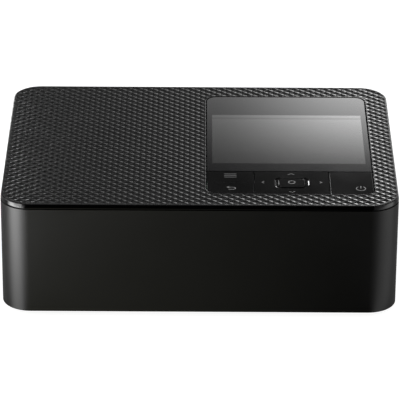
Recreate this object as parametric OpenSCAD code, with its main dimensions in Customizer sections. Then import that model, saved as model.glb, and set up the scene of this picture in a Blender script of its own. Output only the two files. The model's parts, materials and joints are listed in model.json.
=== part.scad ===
// Compact postcard photo printer with a fold-down front door and a side ink door.
// Millimetres. X runs to the right, the front face looks along -Y, Z is up from the surface.
// The origin is on the surface, under the middle of the casing.

/* [Casing] */
// Width of the casing
body_w = 182.2; // [178:0.1:240]
// Depth of the casing
body_d = 133; // [131:0.5:180]
// Height from the surface to the top
body_h = 57.6; // [57:0.1:80]
// Plan radius of the four upright corners
corner_r = 13.4; // [11:0.1:16]
// Thickness of the moulded walls
wall = 2.2; // [1.8:0.1:2.4]
// Height of the rubber feet
foot_h = 2.8; // [2.2:0.1:5]
// Radius of the rubber feet
foot_r = 6; // [4:0.5:8]
// Height of the top plate's glossy rim
rim_h = 2.3; // [1.8:0.1:3]
// Dark seam between the rim and the covers below it
top_seam = 0.5; // [0.4:0.05:0.8]
// Seam between neighbouring covers
cover_gap = 0.3; // [0.2:0.05:0.5]

/* [Front door] */
// Gap between the door's edges and its neighbours
door_gap = 0.6; // [0.5:0.05:1]
// Depth of the door's returns round the corners
door_return = 15; // [14.5:0.1:18]
// Distance of the hinge line behind the door's outer face
hinge_back = 4.5; // [4.3:0.1:5]
// Height of the hinge line above the surface
hinge_z = 5.5; // [5.3:0.1:7]
// Radius of the door's hinge pins
hinge_pin_r = 1; // [0.8:0.05:1.1]
// Distance of each hinge from the middle of the door
hinge_x = 74; // [70:1:76]

/* [Ink door] */
// Length of the ink door's opening
ink_door_l = 76; // [74:1:80]
// Height of the ink door's opening
ink_door_h = 29; // [26:0.5:29]
// Gap round the ink door
ink_door_gap = 0.4; // [0.3:0.05:0.6]
// Radius of the ink door's hinge knuckle
knuckle_r = 1.6; // [1.4:0.1:1.8]
// Radius of the ink door's hinge pins
ink_pin_r = 0.9; // [0.7:0.05:1]

/* [Control panel] */
// Width of the control panel
panel_w = 76.4; // [72:0.1:78]
// Depth of the control panel
panel_d = 107.9; // [104:0.1:109]
// Corner radius of the control panel
panel_r = 5; // [3:0.1:7]
// Dark gap round the control panel
panel_gap = 0.5; // [0.3:0.05:0.8]
// Distance from the casing's right side to the panel
panel_right = 11.35; // [9:0.05:12]
// Distance from the casing's front to the panel
panel_front = 12.95; // [12:0.05:13.5]
// How far the glass and the keys lie below the top
panel_drop = 0.2; // [0.1:0.05:0.5]
// Thickness of the display glass
glass_t = 1.2; // [0.8:0.1:1.4]
// Width of the visible display
display_w = 71.5; // [60:0.5:72]
// Depth of the visible display
display_d = 54.4; // [45:0.2:58]
// Distance from the panel's front edge to the visible display
display_front = 32.4; // [30:0.1:34]
// Depth of the key row
key_row_d = 23.35; // [20:0.05:24]
// Gap between the key plates
key_gap = 0.6; // [0.4:0.05:0.8]
// Width of the menu and back key
menu_w = 21.35; // [18:0.05:22]
// Width of the four-way pad
pad_w = 34.1; // [33:0.1:36]
// Width of the confirm key
ok_w = 12.2; // [10:0.1:13]
// Depth of the confirm key
ok_d = 9; // [7:0.1:9.5]
// Travel of the confirm and power keys
key_travel = 0.5; // [0.3:0.05:0.6]

/* [Paper path] */
// Width of the paper cassette's bay
bay_w = 112; // [108:0.5:114]
// Height of the bay's mouth
bay_h = 31; // [26:0.5:31]
// Middle of the paper path, from the middle of the casing
paper_x = -8; // [-9:0.5:-7]
// Height of the paper path above the floor
paper_rise = 19.3; // [18:0.1:19.5]
// Radius of the capstan roller
capstan_r = 4; // [3.5:0.1:4.2]
// Radius of the pinch roller
pinch_r = 3.5; // [3:0.1:3.6]
// Radius of the platen roller
platen_r = 7; // [6:0.1:7.2]
// Radius of the exit roller
exit_r = 4; // [3:0.1:4.2]
// Radius of the pick-up tyres
tyre_r = 8; // [7:0.1:8.2]
// Height of the rear paper slot
slot_h = 5; // [4.6:0.1:6]
// Radius of the steel roller shafts
shaft_r = 2; // [1.6:0.1:2.2]
// Running clearance of shafts in their bores
run_fit = 0.06; // [0.03:0.01:0.09]

/* [Ink cassette] */
// Radius of the ink cassette's spool housings
spool_case_r = 9.5; // [8.8:0.1:9.8]
// Height of the spools above the floor
spool_rise = 31; // [30.6:0.1:31.5]
// Angle that the print head lowers by
head_lift = 3.5; // [2:0.1:3.6]

/* [Gears] */
// Module of the gear teeth
gear_module = 0.5; // [0.48:0.01:0.5]
// Backlash at the pitch line
backlash = 0.12; // [0.08:0.01:0.2]
// Width of the gear faces
gear_w = 2.4; // [1.8:0.1:2.6]
// Teeth on the capstan gear
capstan_teeth = 42; // [38:1:42]
// Teeth on the reduction gear's large wheel
reduction_teeth = 36; // [32:1:36]
// Teeth on the reduction gear's small wheel
reduction_small = 16; // [14:1:18]
// Teeth on the feed motor's pinion
feed_pinion_teeth = 12; // [11:1:14]
// Teeth on the take-up and pick-up motors' pinions
small_pinion_teeth = 11; // [10:1:12]
// Teeth on the take-up gear
take_up_teeth = 36; // [32:1:37]
// Teeth on the pick-up gear
pickup_teeth = 40; // [38:1:41]
// Teeth on the idler gear
idler_teeth = 28; // [28:1:30]
// Teeth on the exit roller's gear
exit_teeth = 20; // [20:1:22]

/* [Sheet metal] */
// Thickness of the chassis steel
plate_t = 1.2; // [0.8:0.1:1.5]
// Width of the side bays between the chassis and the covers
side_bay = 21.7; // [21:0.1:24]

/* [Hidden] */
$fn = 48;

casing_black = [0.05, 0.05, 0.05];
inner_black = [0.09, 0.09, 0.095];
steel = [0.66, 0.67, 0.69];
rubber_black = [0.12, 0.12, 0.12];
gear_white = [0.85, 0.84, 0.79];
board_green = [0.06, 0.28, 0.16];
slim = 0.01;
big = 400;

// Casing planes
half_w = body_w / 2;
front_y = -body_d / 2;
rear_y = body_d / 2;
plate_z = body_h - rim_h;
cover_top = plate_z - top_seam;
floor_z = foot_h + wall;
corner_x = half_w - corner_r;
inner_w = half_w - wall;
rear_in = rear_y - wall;
skirt_h = 1.8;
skirt_t = 1.5;
lip_h = 4;
lip_t = 1.4;
seat_gap = 0.2;

// Front door
door_back = front_y + door_return;
door_bottom = foot_h + seat_gap;
hinge_y = front_y + hinge_back;
door_reach = plate_z - seat_gap - hinge_z;
lug_r = hinge_back - wall - seat_gap;
lug_w = 4;
ear_w = 3.6;
tray_front = hinge_y + 3.2;
tray_notch_x = half_w - 7.1;
side_front = door_back + door_gap;
frame_front = front_y + 8;
frame_t = 2;
frame_x = half_w - 4.9;

// Ink door
ink_y0 = -26;
ink_y1 = ink_y0 + ink_door_l;
ink_z1 = cover_top - 3.8;
ink_z0 = ink_z1 - ink_door_h;
knuckle_x = half_w - knuckle_r;
knuckle_y = ink_y1 - ink_door_gap - knuckle_r;
ink_pin_l = 1.5;

// Control panel
panel_x1 = half_w - panel_right;
panel_x0 = panel_x1 - panel_w;
panel_y0 = front_y + panel_front;
panel_y1 = panel_y0 + panel_d;
panel_z = body_h - panel_drop;
glass_y0 = panel_y0 + key_row_d + key_gap;
display_x0 = panel_x0 + (panel_w - display_w) / 2;
display_y0 = panel_y0 + display_front;
tray_t = 1.2;
tray_z = body_h - 6.2;
tray_rim = 2.4;
board_z = tray_z + tray_t + seat_gap;
board_t = 1;
carrier_z = board_z + board_t;
carrier_t = 0.8;
cap_skin = 1;
cap_z = body_h - 2.1;
key_pivot_z = carrier_z + 1.35;
key_pin_r = 0.5;
key_lug_r = 0.85;
key_fit = 0.05;
ring_x = 9.6;
ring_y = 6;
ring_w = 1.6;
ring_d = 1.4;
menu_x1 = panel_x0 + menu_w;
pad_x0 = menu_x1 + key_gap;
pad_x1 = pad_x0 + pad_w;
power_x0 = pad_x1 + key_gap;
key_y0 = panel_y0;
key_y1 = panel_y0 + key_row_d;
key_mid_y = (key_y0 + key_y1) / 2;
pad_mid_x = (pad_x0 + pad_x1) / 2;
dome_h = 0.25;
stem_z = carrier_z + dome_h + key_travel + 0.05;
module_t = 2.6;
module_edge = 2;

// Mechanism planes
plate_out = inner_w - side_bay;
plate_in = plate_out - plate_t;
paper_z = floor_z + paper_rise;
spool_z = floor_z + spool_rise;
bay_x0 = paper_x - bay_w / 2;
bay_x1 = paper_x + bay_w / 2;
bay_z0 = floor_z + 2;
bay_z1 = bay_z0 + bay_h;
mouth_depth = 8.5;
mouth_t = 1.5;
bay_end = -10;
guide_step_y = -24;
chassis_y0 = frame_front + mouth_depth + 1.5;
chassis_y1 = 57;
chassis_top = tray_z - plate_t - seat_gap;
low_top = floor_z + 38.4;
low_front = -22;

capstan_at = [52, paper_z - capstan_r];
pinch_at = [52, paper_z + pinch_r + 0.05];
pinch_pin_r = 1.5;
platen_at = [12, paper_z - platen_r];
exit_at = [-4, paper_z - exit_r];
pickup_at = [-32, floor_z + 21];
supply_at = [-12, spool_z];
take_up_at = [36, spool_z];
head_pivot = [54, spool_z + 10];
lever_at = [-27.5, spool_z + 8];
lever_pin_r = 1.54;
lever_t = 1.6;
lever_tilt = -8;

// Gears
mesh_slack = 0.06;
reduction_at = step_from(capstan_at, 200, mesh_distance(capstan_teeth, reduction_small));
feed_motor_at = step_from(reduction_at, 160, mesh_distance(reduction_teeth, feed_pinion_teeth));
take_up_motor_at = step_from(take_up_at, 150, mesh_distance(take_up_teeth, small_pinion_teeth));
pickup_motor_at = step_from(pickup_at, 45, mesh_distance(pickup_teeth, small_pinion_teeth));
idler_at = lower_crossing(pickup_at, mesh_distance(pickup_teeth, idler_teeth),
                          exit_at, mesh_distance(idler_teeth, exit_teeth));
gear_room = 8;
bracket_x = -plate_out - gear_room;
bracket_t = 1.2;
near_gear = -plate_out - 0.8;
far_gear = near_gear - gear_w - 0.6;
stud_r = 1.5;
pinion_shaft_r = 0.8;
bush_r = 3;
feed_can = [10.5, 10];
small_can = [7.5, 11];

// Head, drawn lowered onto the platen and then lifted
head_z = paper_z + 0.95;
arm_z = head_z + 21.4;
arm_t = 1.2;
arm_front = 3;
head_pin_r = 1.5;

// Ink cassette
case_x0 = -plate_in + 1.5;
case_x1 = plate_in - 0.5;
case_t = 1.3;
end_t = 2;
film_z = paper_z + 0.7;
film_t = 0.15;
film_w = 106;
supply_roll_r = 6;
take_up_roll_r = 4.2;
hub_r = 3;

// Rear
slot_z0 = paper_z - 2.3;
slot_w = bay_w - 4;
board_x0 = 6 - plate_in;
board_y0 = 22;
board_y1 = rear_y - 5.5;
board_rise = 3;
main_z = floor_z + board_rise;
main_t = 1.6;
dc_x = -50;
usb_x = -30;
fan_s = 25;
fan_t = 6;
fan_x = plate_in + 0.5;
fan_y = rear_in - 0.3 - fan_t;
fan_z = floor_z + 21;
fan_bore = 11.6;
fan_pin_r = 0.8;
card_z = low_top + 0.1;
card_y0 = -49;
card_w = 26;
card_h = 3.8;
foot_x = half_w - 15.1;
foot_y = body_d / 2 - 14.5;
foot_seat = 0.8;
screw_x = half_w - 9.6;
screw_ys = [front_y + 29, rear_y - 23];
screw_r = 1.2;
screw_head_r = 2.4;
screw_boss_r = 3.4;
board_posts_x = [board_x0 + 4, 40];
board_posts_y = [board_y0 + 4, board_y1 - 12];

// Vents
slot_end_r = 0.85;
slot_open = 1.8;
floor_vent_pitch = 7;
floor_vent_y0 = 26;
floor_vent_y1 = 44;
side_vent_pitch = 4;
side_vent_y0 = 16;
rear_vent_pitch = 4;
rear_vent_half = 10;

// Doors and ribs
snap_x = 70;
snap_z = cover_top - 8;
snap_r = 1.8;
scoop_r = 7;
scoop_depth = 1.1;
rib_t = 1.2;
plate_rib_half = 0.7;
plate_rib_h = 2.2;
tower_h = 10;

// ---- geometry of gears ----

function mesh_distance(a, b) = gear_module * (a + b) / 2 + mesh_slack;
function step_from(at, angle, d) = [at[0] + d * cos(angle), at[1] + d * sin(angle)];
function angle_of(a, b) = atan2(b[1] - a[1], b[0] - a[0]);

// The lower of the two points at distance ra from a and rb from b.
function lower_crossing(a, ra, b, rb) =
    let (d = norm(b - a), along = (ra * ra - rb * rb + d * d) / (2 * d),
         side = sqrt(max(0, ra * ra - along * along)), u = (b - a) / d)
    [a[0] + u[0] * along + u[1] * side, a[1] + u[1] * along - u[0] * side];

// How far a gear of n2 teeth turns to mesh with one of n1 teeth turned by t1, seen at angle phi.
function mesh_turn(n1, t1, n2, phi) = phi + 180 + (n1 * (phi - t1) + 180) / n2;

function involute_angle(base, r) = let (c = acos(base / r)) tan(c) * 180 / PI - c;

// Half the angle that one tooth fills at radius r.
function tooth_half(teeth, r) =
    let (pitch = gear_module * teeth / 2, base = pitch * cos(20))
    ((PI * gear_module / 2 - backlash) / 2 / pitch) * 180 / PI
        + involute_angle(base, pitch) - involute_angle(base, max(r, base));

module gear_outline(teeth, turn) {
    pitch = gear_module * teeth / 2;
    root = pitch - 1.25 * gear_module;
    low = (max(pitch * cos(20), root) + pitch) / 2;
    radii = [root, low, pitch, pitch + gear_module];
    rotate(turn) polygon([
        for (i = [0 : teeth - 1], side = [-1, 1], k = [0 : 3])
            let (r = radii[side < 0 ? k : 3 - k], a = i * 360 / teeth + side * tooth_half(teeth, r))
            [r * cos(a), r * sin(a)]
    ]);
}

module gear_disc(x0, x1, at, teeth, turn, bore) {
    along_x(x0, x1) translate(at) difference() {
        gear_outline(teeth, turn);
        circle(bore);
    }
}

// ---- shapes ----

module box(x0, x1, y0, y1, z0, z1) {
    translate([x0, y0, z0]) cube([x1 - x0, y1 - y0, z1 - z0]);
}

module rod_x(x0, x1, at, r) {
    translate([x0, at[0], at[1]]) rotate([0, 90, 0]) cylinder(h = x1 - x0, r = r);
}

module rod_y(y0, y1, x, z, r) {
    translate([x, y0, z]) rotate([-90, 0, 0]) cylinder(h = y1 - y0, r = r);
}

module rod_z(z0, z1, x, y, r) {
    translate([x, y, z0]) cylinder(h = z1 - z0, r = r);
}

// Extrudes a profile drawn in (Y, Z) along X.
module along_x(x0, x1) {
    translate([x0, 0, 0]) rotate([90, 0, 90]) linear_extrude(x1 - x0) children();
}

// Extrudes a profile drawn in (X, Z) along Y.
module along_y(y0, y1) {
    translate([0, y1, 0]) rotate([90, 0, 0]) linear_extrude(y1 - y0) children();
}

module along_z(z0, z1) {
    translate([0, 0, z0]) linear_extrude(z1 - z0) children();
}

module soft_square(x0, x1, y0, y1, r) {
    translate([x0 + r, y0]) square([x1 - x0 - 2 * r, y1 - y0]);
    translate([x0, y0 + r]) square([x1 - x0, y1 - y0 - 2 * r]);
    for (x = [x0 + r, x1 - r], y = [y0 + r, y1 - r]) translate([x, y]) circle(r);
}

module outline(inset) {
    soft_square(-half_w + inset, half_w - inset, front_y + inset, rear_y - inset, corner_r - inset);
}

module casing_wall(z0, z1) {
    along_z(z0, z1) difference() {
        outline(0);
        outline(wall);
    }
}

module panel_area(grow) {
    soft_square(panel_x0 - grow, panel_x1 + grow, panel_y0 - grow, panel_y1 + grow, panel_r + grow);
}

module both_sides() {
    children();
    mirror([1, 0, 0]) children();
}

// ---- casing ----

module base_tray() color(inner_black) difference() {
    union() {
        along_z(foot_h, floor_z) difference() {
            outline(wall + seat_gap);
            translate([-big / 2, tray_front - big]) square([big, big]);
            for (x = [tray_notch_x, -big - tray_notch_x])
                translate([x, front_y]) square([big, side_front - front_y + seat_gap]);
        }
        along_z(floor_z - slim, floor_z + lip_h) difference() {
            outline(wall + seat_gap);
            outline(wall + seat_gap + lip_t);
            translate([-big / 2, side_front - big + 3]) square([big, big]);
        }
        both_sides() hinge_bracket();
        for (x = board_posts_x, y = board_posts_y) rod_z(floor_z - slim, main_z, x, y, 3);
        for (x = [-screw_x, screw_x], y = screw_ys)
            rod_z(floor_z - slim, floor_z + 2.5, x, y, screw_boss_r);
    }
    for (x = board_posts_x, y = board_posts_y) rod_z(floor_z + 0.5, main_z + slim, x, y, 1);
    for (x = [-foot_x, foot_x], y = [-foot_y, foot_y])
        rod_z(foot_h - slim, foot_h + foot_seat, x, y, foot_r + 0.1);
    for (x = [-screw_x, screw_x], y = screw_ys) {
        rod_z(foot_h - slim, floor_z + 3, x, y, screw_r + 0.1);
        rod_z(foot_h - slim, foot_h + 1.8, x, y, screw_head_r + 0.2);
    }
    // Cooling slots under the main board
    for (i = [-5 : 5]) along_z(foot_h - slim, floor_z + slim)
        soft_square(paper_x + i * floor_vent_pitch - 1.2, paper_x + i * floor_vent_pitch + 1.2,
                    floor_vent_y0, floor_vent_y1, 1.1);
}

// Lug on the tray that carries one pin of the front door.
module hinge_bracket() difference() {
    union() {
        rod_x(hinge_x - lug_w / 2, hinge_x + lug_w / 2, [hinge_y, hinge_z], lug_r);
        box(hinge_x - lug_w / 2, hinge_x + lug_w / 2, hinge_y, tray_front + 4, hinge_z - 1.1,
            hinge_z + lug_r);
        box(hinge_x - lug_w / 2, hinge_x + lug_w / 2, tray_front, tray_front + 4, foot_h, hinge_z + lug_r);
    }
    rod_x(hinge_x - lug_w, hinge_x + lug_w, [hinge_y, hinge_z], hinge_pin_r + run_fit);
}

module rubber_feet() color(rubber_black)
    for (x = [-foot_x, foot_x], y = [-foot_y, foot_y]) {
        rod_z(0.4, foot_h + foot_seat, x, y, foot_r);
        rod_z(0, 0.4 + slim, x, y, foot_r - 0.4);
    }

module side_region(side) {
    translate([side > 0 ? corner_x : -big - corner_x, side_front, 0]) cube([big, big, big]);
}

// Screw towers and upright ribs that stiffen a side cover, drawn for the right side.
module side_stiffeners(rib_front) {
    tower_top = floor_z + tower_h;
    for (y = screw_ys) {
        difference() {
            union() {
                rod_z(floor_z + 2.6, tower_top, screw_x, y, 3.2);
                box(screw_x, inner_w + slim, y - 0.8, y + 0.8, floor_z + lip_h + 0.6, tower_top);
            }
            rod_z(floor_z, tower_top - 1.5, screw_x, y, screw_r + 0.1);
        }
    }
    for (y = [rib_front, rear_y - 10.5])
        box(inner_w - rib_t, inner_w + slim, y, y + rib_t, floor_z + lip_h + 0.6, cover_top - 4);
}

module side_cover_left() color(casing_black) difference() {
    union() {
        intersection() {
            casing_wall(foot_h, cover_top);
            side_region(-1);
        }
        mirror([1, 0, 0]) side_stiffeners(-18);
    }
    along_x(-half_w - 1, -inner_w + slim)
        soft_square(card_y0 + 0.4, card_y0 + card_w - 0.4, card_z + 0.5, card_z + 3.3, 0.9);
    for (i = [0 : 8]) along_x(-half_w - 1, -inner_w + slim)
        translate([side_vent_y0 + i * side_vent_pitch, floor_z + 8])
            soft_square(0, slot_open, 0, 16, slot_end_r);
}

module side_cover_right() color(casing_black) difference() {
    union() {
        intersection() {
            casing_wall(foot_h, cover_top);
            side_region(1);
        }
        side_stiffeners(-38);
        for (z = [ink_z0 - 2.2, ink_z1])
            box(knuckle_x - 1.9, inner_w + slim, knuckle_y - 1.9, knuckle_y + 1.9, z, z + 2.2);
    }
    box(inner_w - 3, half_w + 1, ink_y0, ink_y1, ink_z0, ink_z1);
    rod_z(ink_z0 - ink_pin_l - 0.2, ink_z1 + ink_pin_l + 0.2, knuckle_x, knuckle_y, ink_pin_r + run_fit);
    // Finger scoop at the ink door's free edge
    rod_x(half_w - scoop_depth, half_w + 1, [ink_y0, (ink_z0 + ink_z1) / 2], scoop_r);
}

module rear_cover() color(casing_black) difference() {
    union() {
        intersection() {
            casing_wall(foot_h, cover_top);
            box(-corner_x + cover_gap, corner_x - cover_gap, 0, big, 0, big);
        }
        box(paper_x - slot_w / 2 - 1.5, paper_x + slot_w / 2 + 1.5, chassis_y1 + 0.3, rear_in + slim,
            slot_z0 - 1.4, slot_z0 - 0.2);
        for (x = [bay_x0 - 2, bay_x1 + 1])
            box(x, x + 1.4, rear_in - 3, rear_in + slim, floor_z + lip_h + 0.6, cover_top - 3);
    }
    along_y(rear_in - slim, rear_y + 1)
        soft_square(paper_x - slot_w / 2, paper_x + slot_w / 2, slot_z0, slot_z0 + slot_h, 1);
    for (i = [0 : 6]) along_y(rear_in - slim, rear_y + 1)
        translate([fan_x + (i - 3) * rear_vent_pitch - slot_open / 2, fan_z - rear_vent_half])
            soft_square(0, slot_open, 0, 2 * rear_vent_half, slot_end_r);
    rod_y(rear_in - slim, rear_y + 1, dc_x, dc_z(), 4.4);
    along_y(rear_in - slim, rear_y + 1)
        soft_square(usb_x - 5, usb_x + 5, usb_z() - 2.1, usb_z() + 2.1, 1.9);
}

function dc_z() = main_z + main_t + 5;
function usb_z() = main_z + main_t + 1.8;

module top_cover() color(casing_black) {
    difference() {
        along_z(plate_z, body_h) outline(0);
        along_z(plate_z - 1, body_h + 1) panel_area(panel_gap);
    }
    difference() {
        along_z(plate_z - skirt_h, plate_z + slim) difference() {
            outline(wall + seat_gap);
            outline(wall + seat_gap + skirt_t);
        }
        box(-big / 2, big / 2, -big, side_front + 1, 0, big);
    }
    // Stiffening ribs under the plate, left of the control panel
    for (y = [-36, 0, 36]) box(-inner_w + 6, panel_x0 - 6, y - plate_rib_half, y + plate_rib_half,
                               plate_z - plate_rib_h, plate_z + slim);
    for (x = [-60, -30]) box(x - plate_rib_half, x + plate_rib_half, -44, 44, plate_z - plate_rib_h,
                             plate_z + slim);
}

module front_frame() color(inner_black) difference() {
    union() {
        along_y(frame_front, frame_front + frame_t) soft_square(-frame_x, frame_x, floor_z + 0.1,
                                                              plate_z - 0.4, 3);
        // Mouth that guides the paper cassette in
        along_y(frame_front, frame_front + mouth_depth) difference() {
            soft_square(bay_x0 - mouth_t, bay_x1 + mouth_t, bay_z0 - 1.2, bay_z1 + mouth_t, 2.5);
            soft_square(bay_x0, bay_x1, bay_z0, bay_z1, 1.5);
        }
        // Ribs above the mouth
        for (x = [bay_x0 + 8 : 16 : bay_x1])
            box(x, x + rib_t, frame_front + frame_t - slim, frame_front + 5, bay_z1 + mouth_t - slim,
                plate_z - 4);
        both_sides() box(frame_x - 1.6, frame_x, frame_front, side_front - 0.5, floor_z + 8, cover_top - 2);
    }
    along_y(frame_front - 1, frame_front + mouth_depth + 1)
        soft_square(bay_x0, bay_x1, bay_z0, bay_z1, 1.5);
    both_sides() {
        box(hinge_x - lug_w / 2 - 0.4, hinge_x + lug_w / 2 + 0.4, front_y, 0, 0, hinge_z + lug_r + 0.5);
        box(tray_notch_x - 0.3, big, front_y, 0, 0, floor_z + 8);
        // Sockets for the door's snap studs
        rod_y(frame_front - 1, frame_front + 1.2, snap_x, snap_z, snap_r + 0.35);
    }
}

module front_door() color(casing_black) intersection() {
    rod_x(-half_w - 1, half_w + 1, [hinge_y, hinge_z], door_reach);
    union() {
        intersection() {
            casing_wall(door_bottom, cover_top);
            box(-big / 2, big / 2, -big, door_back, 0, big);
        }
        // Stiffening grid on the inner face
        for (x = [-60 : 20 : 60])
            box(x - rib_t / 2, x + rib_t / 2, front_y + wall - slim, front_y + wall + rib_t,
                hinge_z + 6, cover_top - 6);
        for (z = [hinge_z + 6, cover_top - 6])
            box(-76, 76, front_y + wall - slim, front_y + wall + rib_t, z - rib_t / 2, z + rib_t / 2);
        both_sides() {
            door_ear();
            rod_y(front_y + wall - slim, frame_front + 0.9, snap_x, snap_z, snap_r);
        }
    }
}

// Ear with one hinge pin, drawn for the right side; the pin points outwards.
module door_ear() {
    ear_x1 = hinge_x - lug_w / 2 - 0.3;
    rod_x(ear_x1 - ear_w, ear_x1, [hinge_y, hinge_z], lug_r - 0.1);
    box(ear_x1 - ear_w, ear_x1, front_y + wall - slim, hinge_y, hinge_z, hinge_z + 5);
    rod_x(ear_x1 - slim, hinge_x + lug_w / 2 + 0.6, [hinge_y, hinge_z], hinge_pin_r);
}

module ink_door() color(casing_black) {
    z0 = ink_z0 + ink_door_gap;
    z1 = ink_z1 - ink_door_gap;
    difference() {
        union() {
            box(inner_w, half_w, ink_y0 + ink_door_gap, knuckle_y, z0, z1);
            rod_z(z0, z1, knuckle_x, knuckle_y, knuckle_r);
            // Rim and cross ribs on the inner face
            for (z = [z0 + 3, (z0 + z1) / 2, z1 - 4.2])
                box(inner_w - 1, inner_w + slim, ink_y0 + 4, knuckle_y - 5, z, z + 1.2);
            for (y = [ink_y0 + 4, (ink_y0 + knuckle_y) / 2, knuckle_y - 6.2])
                box(inner_w - 1, inner_w + slim, y, y + 1.2, z0 + 3, z1 - 3);
        }
        // Finger scoop at the free edge
        rod_x(half_w - scoop_depth, half_w + 1, [ink_y0, (ink_z0 + ink_z1) / 2], scoop_r);
    }
    rod_z(ink_z0 - ink_pin_l, ink_z1 + ink_pin_l, knuckle_x, knuckle_y, ink_pin_r);
}

// ---- control panel ----

module lcd_window() color([0.03, 0.03, 0.035]) along_z(panel_z - glass_t, panel_z) intersection() {
    panel_area(0);
    translate([panel_x0 - 1, glass_y0]) square([panel_w + 2, panel_d]);
}

module lcd_module() color([0.2, 0.21, 0.22]) {
    top = panel_z - glass_t - seat_gap;
    x0 = display_x0 - module_edge;
    x1 = display_x0 + display_w + module_edge;
    difference() {
        box(x0, x1, display_y0 - 4, display_y0 + display_d + module_edge, top - module_t, top);
        box(display_x0, display_x0 + display_w, display_y0, display_y0 + display_d, top - 0.3, top + 1);
    }
    box(x0 + 20, x0 + 40, display_y0 - 7, display_y0 - 4 + slim, top - module_t, top - module_t + 0.3);
}

module panel_frame() color(inner_black) {
    x0 = panel_x0 - tray_rim;
    x1 = panel_x1 + tray_rim;
    y0 = panel_y0 - tray_rim;
    y1 = panel_y1 + tray_rim;
    difference() {
        along_z(tray_z, plate_z - 0.1) soft_square(x0, x1, y0, y1, panel_r + tray_rim);
        along_z(tray_z + tray_t, plate_z + 1) soft_square(x0 + 1.5, x1 - 1.5, y0 + 1.5, y1 - 1.5,
                                                        panel_r + tray_rim - 1.5);
        along_z(tray_z - 1, tray_z + tray_t + 1)
            soft_square(display_x0 + 12, display_x0 + display_w - 12, display_y0 + 8,
                        display_y0 + display_d - 8, 3);
    }
    // Posts under the display module and the glass
    module_z = panel_z - glass_t - seat_gap - module_t;
    for (x = [display_x0 + 4, display_x0 + display_w - 4], y = [display_y0 + 4, display_y0 + display_d - 4])
        rod_z(tray_z + tray_t - slim, module_z, x, y, 2);
    for (y = [display_y0 + display_d + 5, panel_y1 - 4])
        box(panel_x0 + 6, panel_x1 - 6, y, y + 1.2, tray_z + tray_t - slim, panel_z - glass_t - 0.1);
    box(panel_x0 + 1, panel_x1 - 1, glass_y0 + 0.2, glass_y0 + 0.9, tray_z + tray_t - slim,
        panel_z - glass_t - 0.1);
    for (x = [panel_x0 + 5, pad_mid_x - 12, pad_mid_x + 12, panel_x1 - 5], y = [key_y0 + 4, key_y1 - 4])
        rod_z(tray_z + tray_t - slim, board_z, x, y, 1.2);
}

function dome_sites() = [
    [panel_x0 + menu_w / 2, key_y1 - 3.4], [panel_x0 + menu_w / 2, key_y0 + 3.4],
    [pad_mid_x - 14.4, key_mid_y], [pad_mid_x + 14.4, key_mid_y],
    [pad_mid_x, key_y1 - 3], [pad_mid_x, key_y0 + 3], [pad_mid_x, key_mid_y],
    [(power_x0 + panel_x1) / 2, key_mid_y]
];

module key_board() color(board_green) {
    along_z(board_z, board_z + board_t)
        soft_square(panel_x0 - 0.3, panel_x1 + 0.3, panel_y0 - 0.3, glass_y0 - 0.1, panel_r);
    for (at = dome_sites()) rod_z(carrier_z - slim, carrier_z + dome_h, at[0], at[1], 2.2);
}

// Lug that holds a key's pivot pin; the pin runs along X or Y.
module key_lug(x, y, w, along) {
    difference() {
        if (along == "x") {
            rod_x(x - w / 2, x + w / 2, [y, key_pivot_z], key_lug_r);
            box(x - w / 2, x + w / 2, y - key_lug_r, y + key_lug_r, carrier_z, key_pivot_z);
        } else {
            rod_y(y - w / 2, y + w / 2, x, key_pivot_z, key_lug_r);
            box(x - key_lug_r, x + key_lug_r, y - w / 2, y + w / 2, key_pivot_z, cap_z + 1.2);
        }
        if (along == "x") rod_x(x - w, x + w, [y, key_pivot_z], key_pin_r + key_fit);
        else rod_y(y - w, y + w, x, key_pivot_z, key_pin_r + key_fit);
    }
}

module key_carrier() color(inner_black) {
    difference() {
        along_z(carrier_z, carrier_z + carrier_t)
            soft_square(panel_x0 + 0.1, panel_x1 - 0.1, panel_y0 + 0.1, key_y1, panel_r);
        // Room for the stems and domes
        for (at = dome_sites()) rod_z(0, big, at[0], at[1], 2.5);
        // Room for the menu key's rib, the pad's ring and the power key's skirt
        along_z(0, big) {
            soft_square(panel_x0 + 4, menu_x1 - 4, key_mid_y - 2.2, key_mid_y + 2.2, 0.5);
            soft_square(pad_x0 + 1.4, pad_x1 - 1.4, key_y0 + 2, key_y1 - 2, 2);
        }
    }
    for (x = [panel_x0 + 4.8, menu_x1 - 4.8]) key_lug(x, key_mid_y, 1.6, "x");
    for (x = [pad_mid_x - ring_x - 1.6, pad_mid_x + ring_x + 1.6]) key_lug(x, key_mid_y, 1.6, "x");
    // Bridges that carry the pad's two lugs
    for (side = [-1, 1])
        box(pad_mid_x + side * (ring_x + 1.6) - 0.8, pad_mid_x + side * (ring_x + 1.6) + 0.8,
            key_y0 + 1.5, key_mid_y, carrier_z, carrier_z + 0.5);
}

module cap_shell(x0, x1) {
    difference() {
        along_z(cap_z, panel_z) intersection() {
            panel_area(0);
            translate([x0, key_y0]) square([x1 - x0, key_y1 - key_y0]);
        }
        along_z(cap_z - 1, panel_z - cap_skin) intersection() {
            panel_area(-1);
            translate([x0 + 1, key_y0 + 1]) square([x1 - x0 - 2, key_y1 - key_y0 - 2]);
        }
    }
}

module key_stem(at, r) {
    rod_z(stem_z, panel_z - cap_skin + slim, at[0], at[1], r);
}

module menu_key() color([0.1, 0.1, 0.1]) {
    cap_shell(panel_x0, menu_x1);
    for (i = [0, 1]) key_stem(dome_sites()[i], 1.2);
    box(panel_x0 + 6.2, menu_x1 - 6.2, key_mid_y - 0.7, key_mid_y + 0.7, key_pivot_z - 0.6,
        panel_z - cap_skin + slim);
    rod_x(panel_x0 + 4, menu_x1 - 4, [key_mid_y, key_pivot_z], key_pin_r);
}

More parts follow.
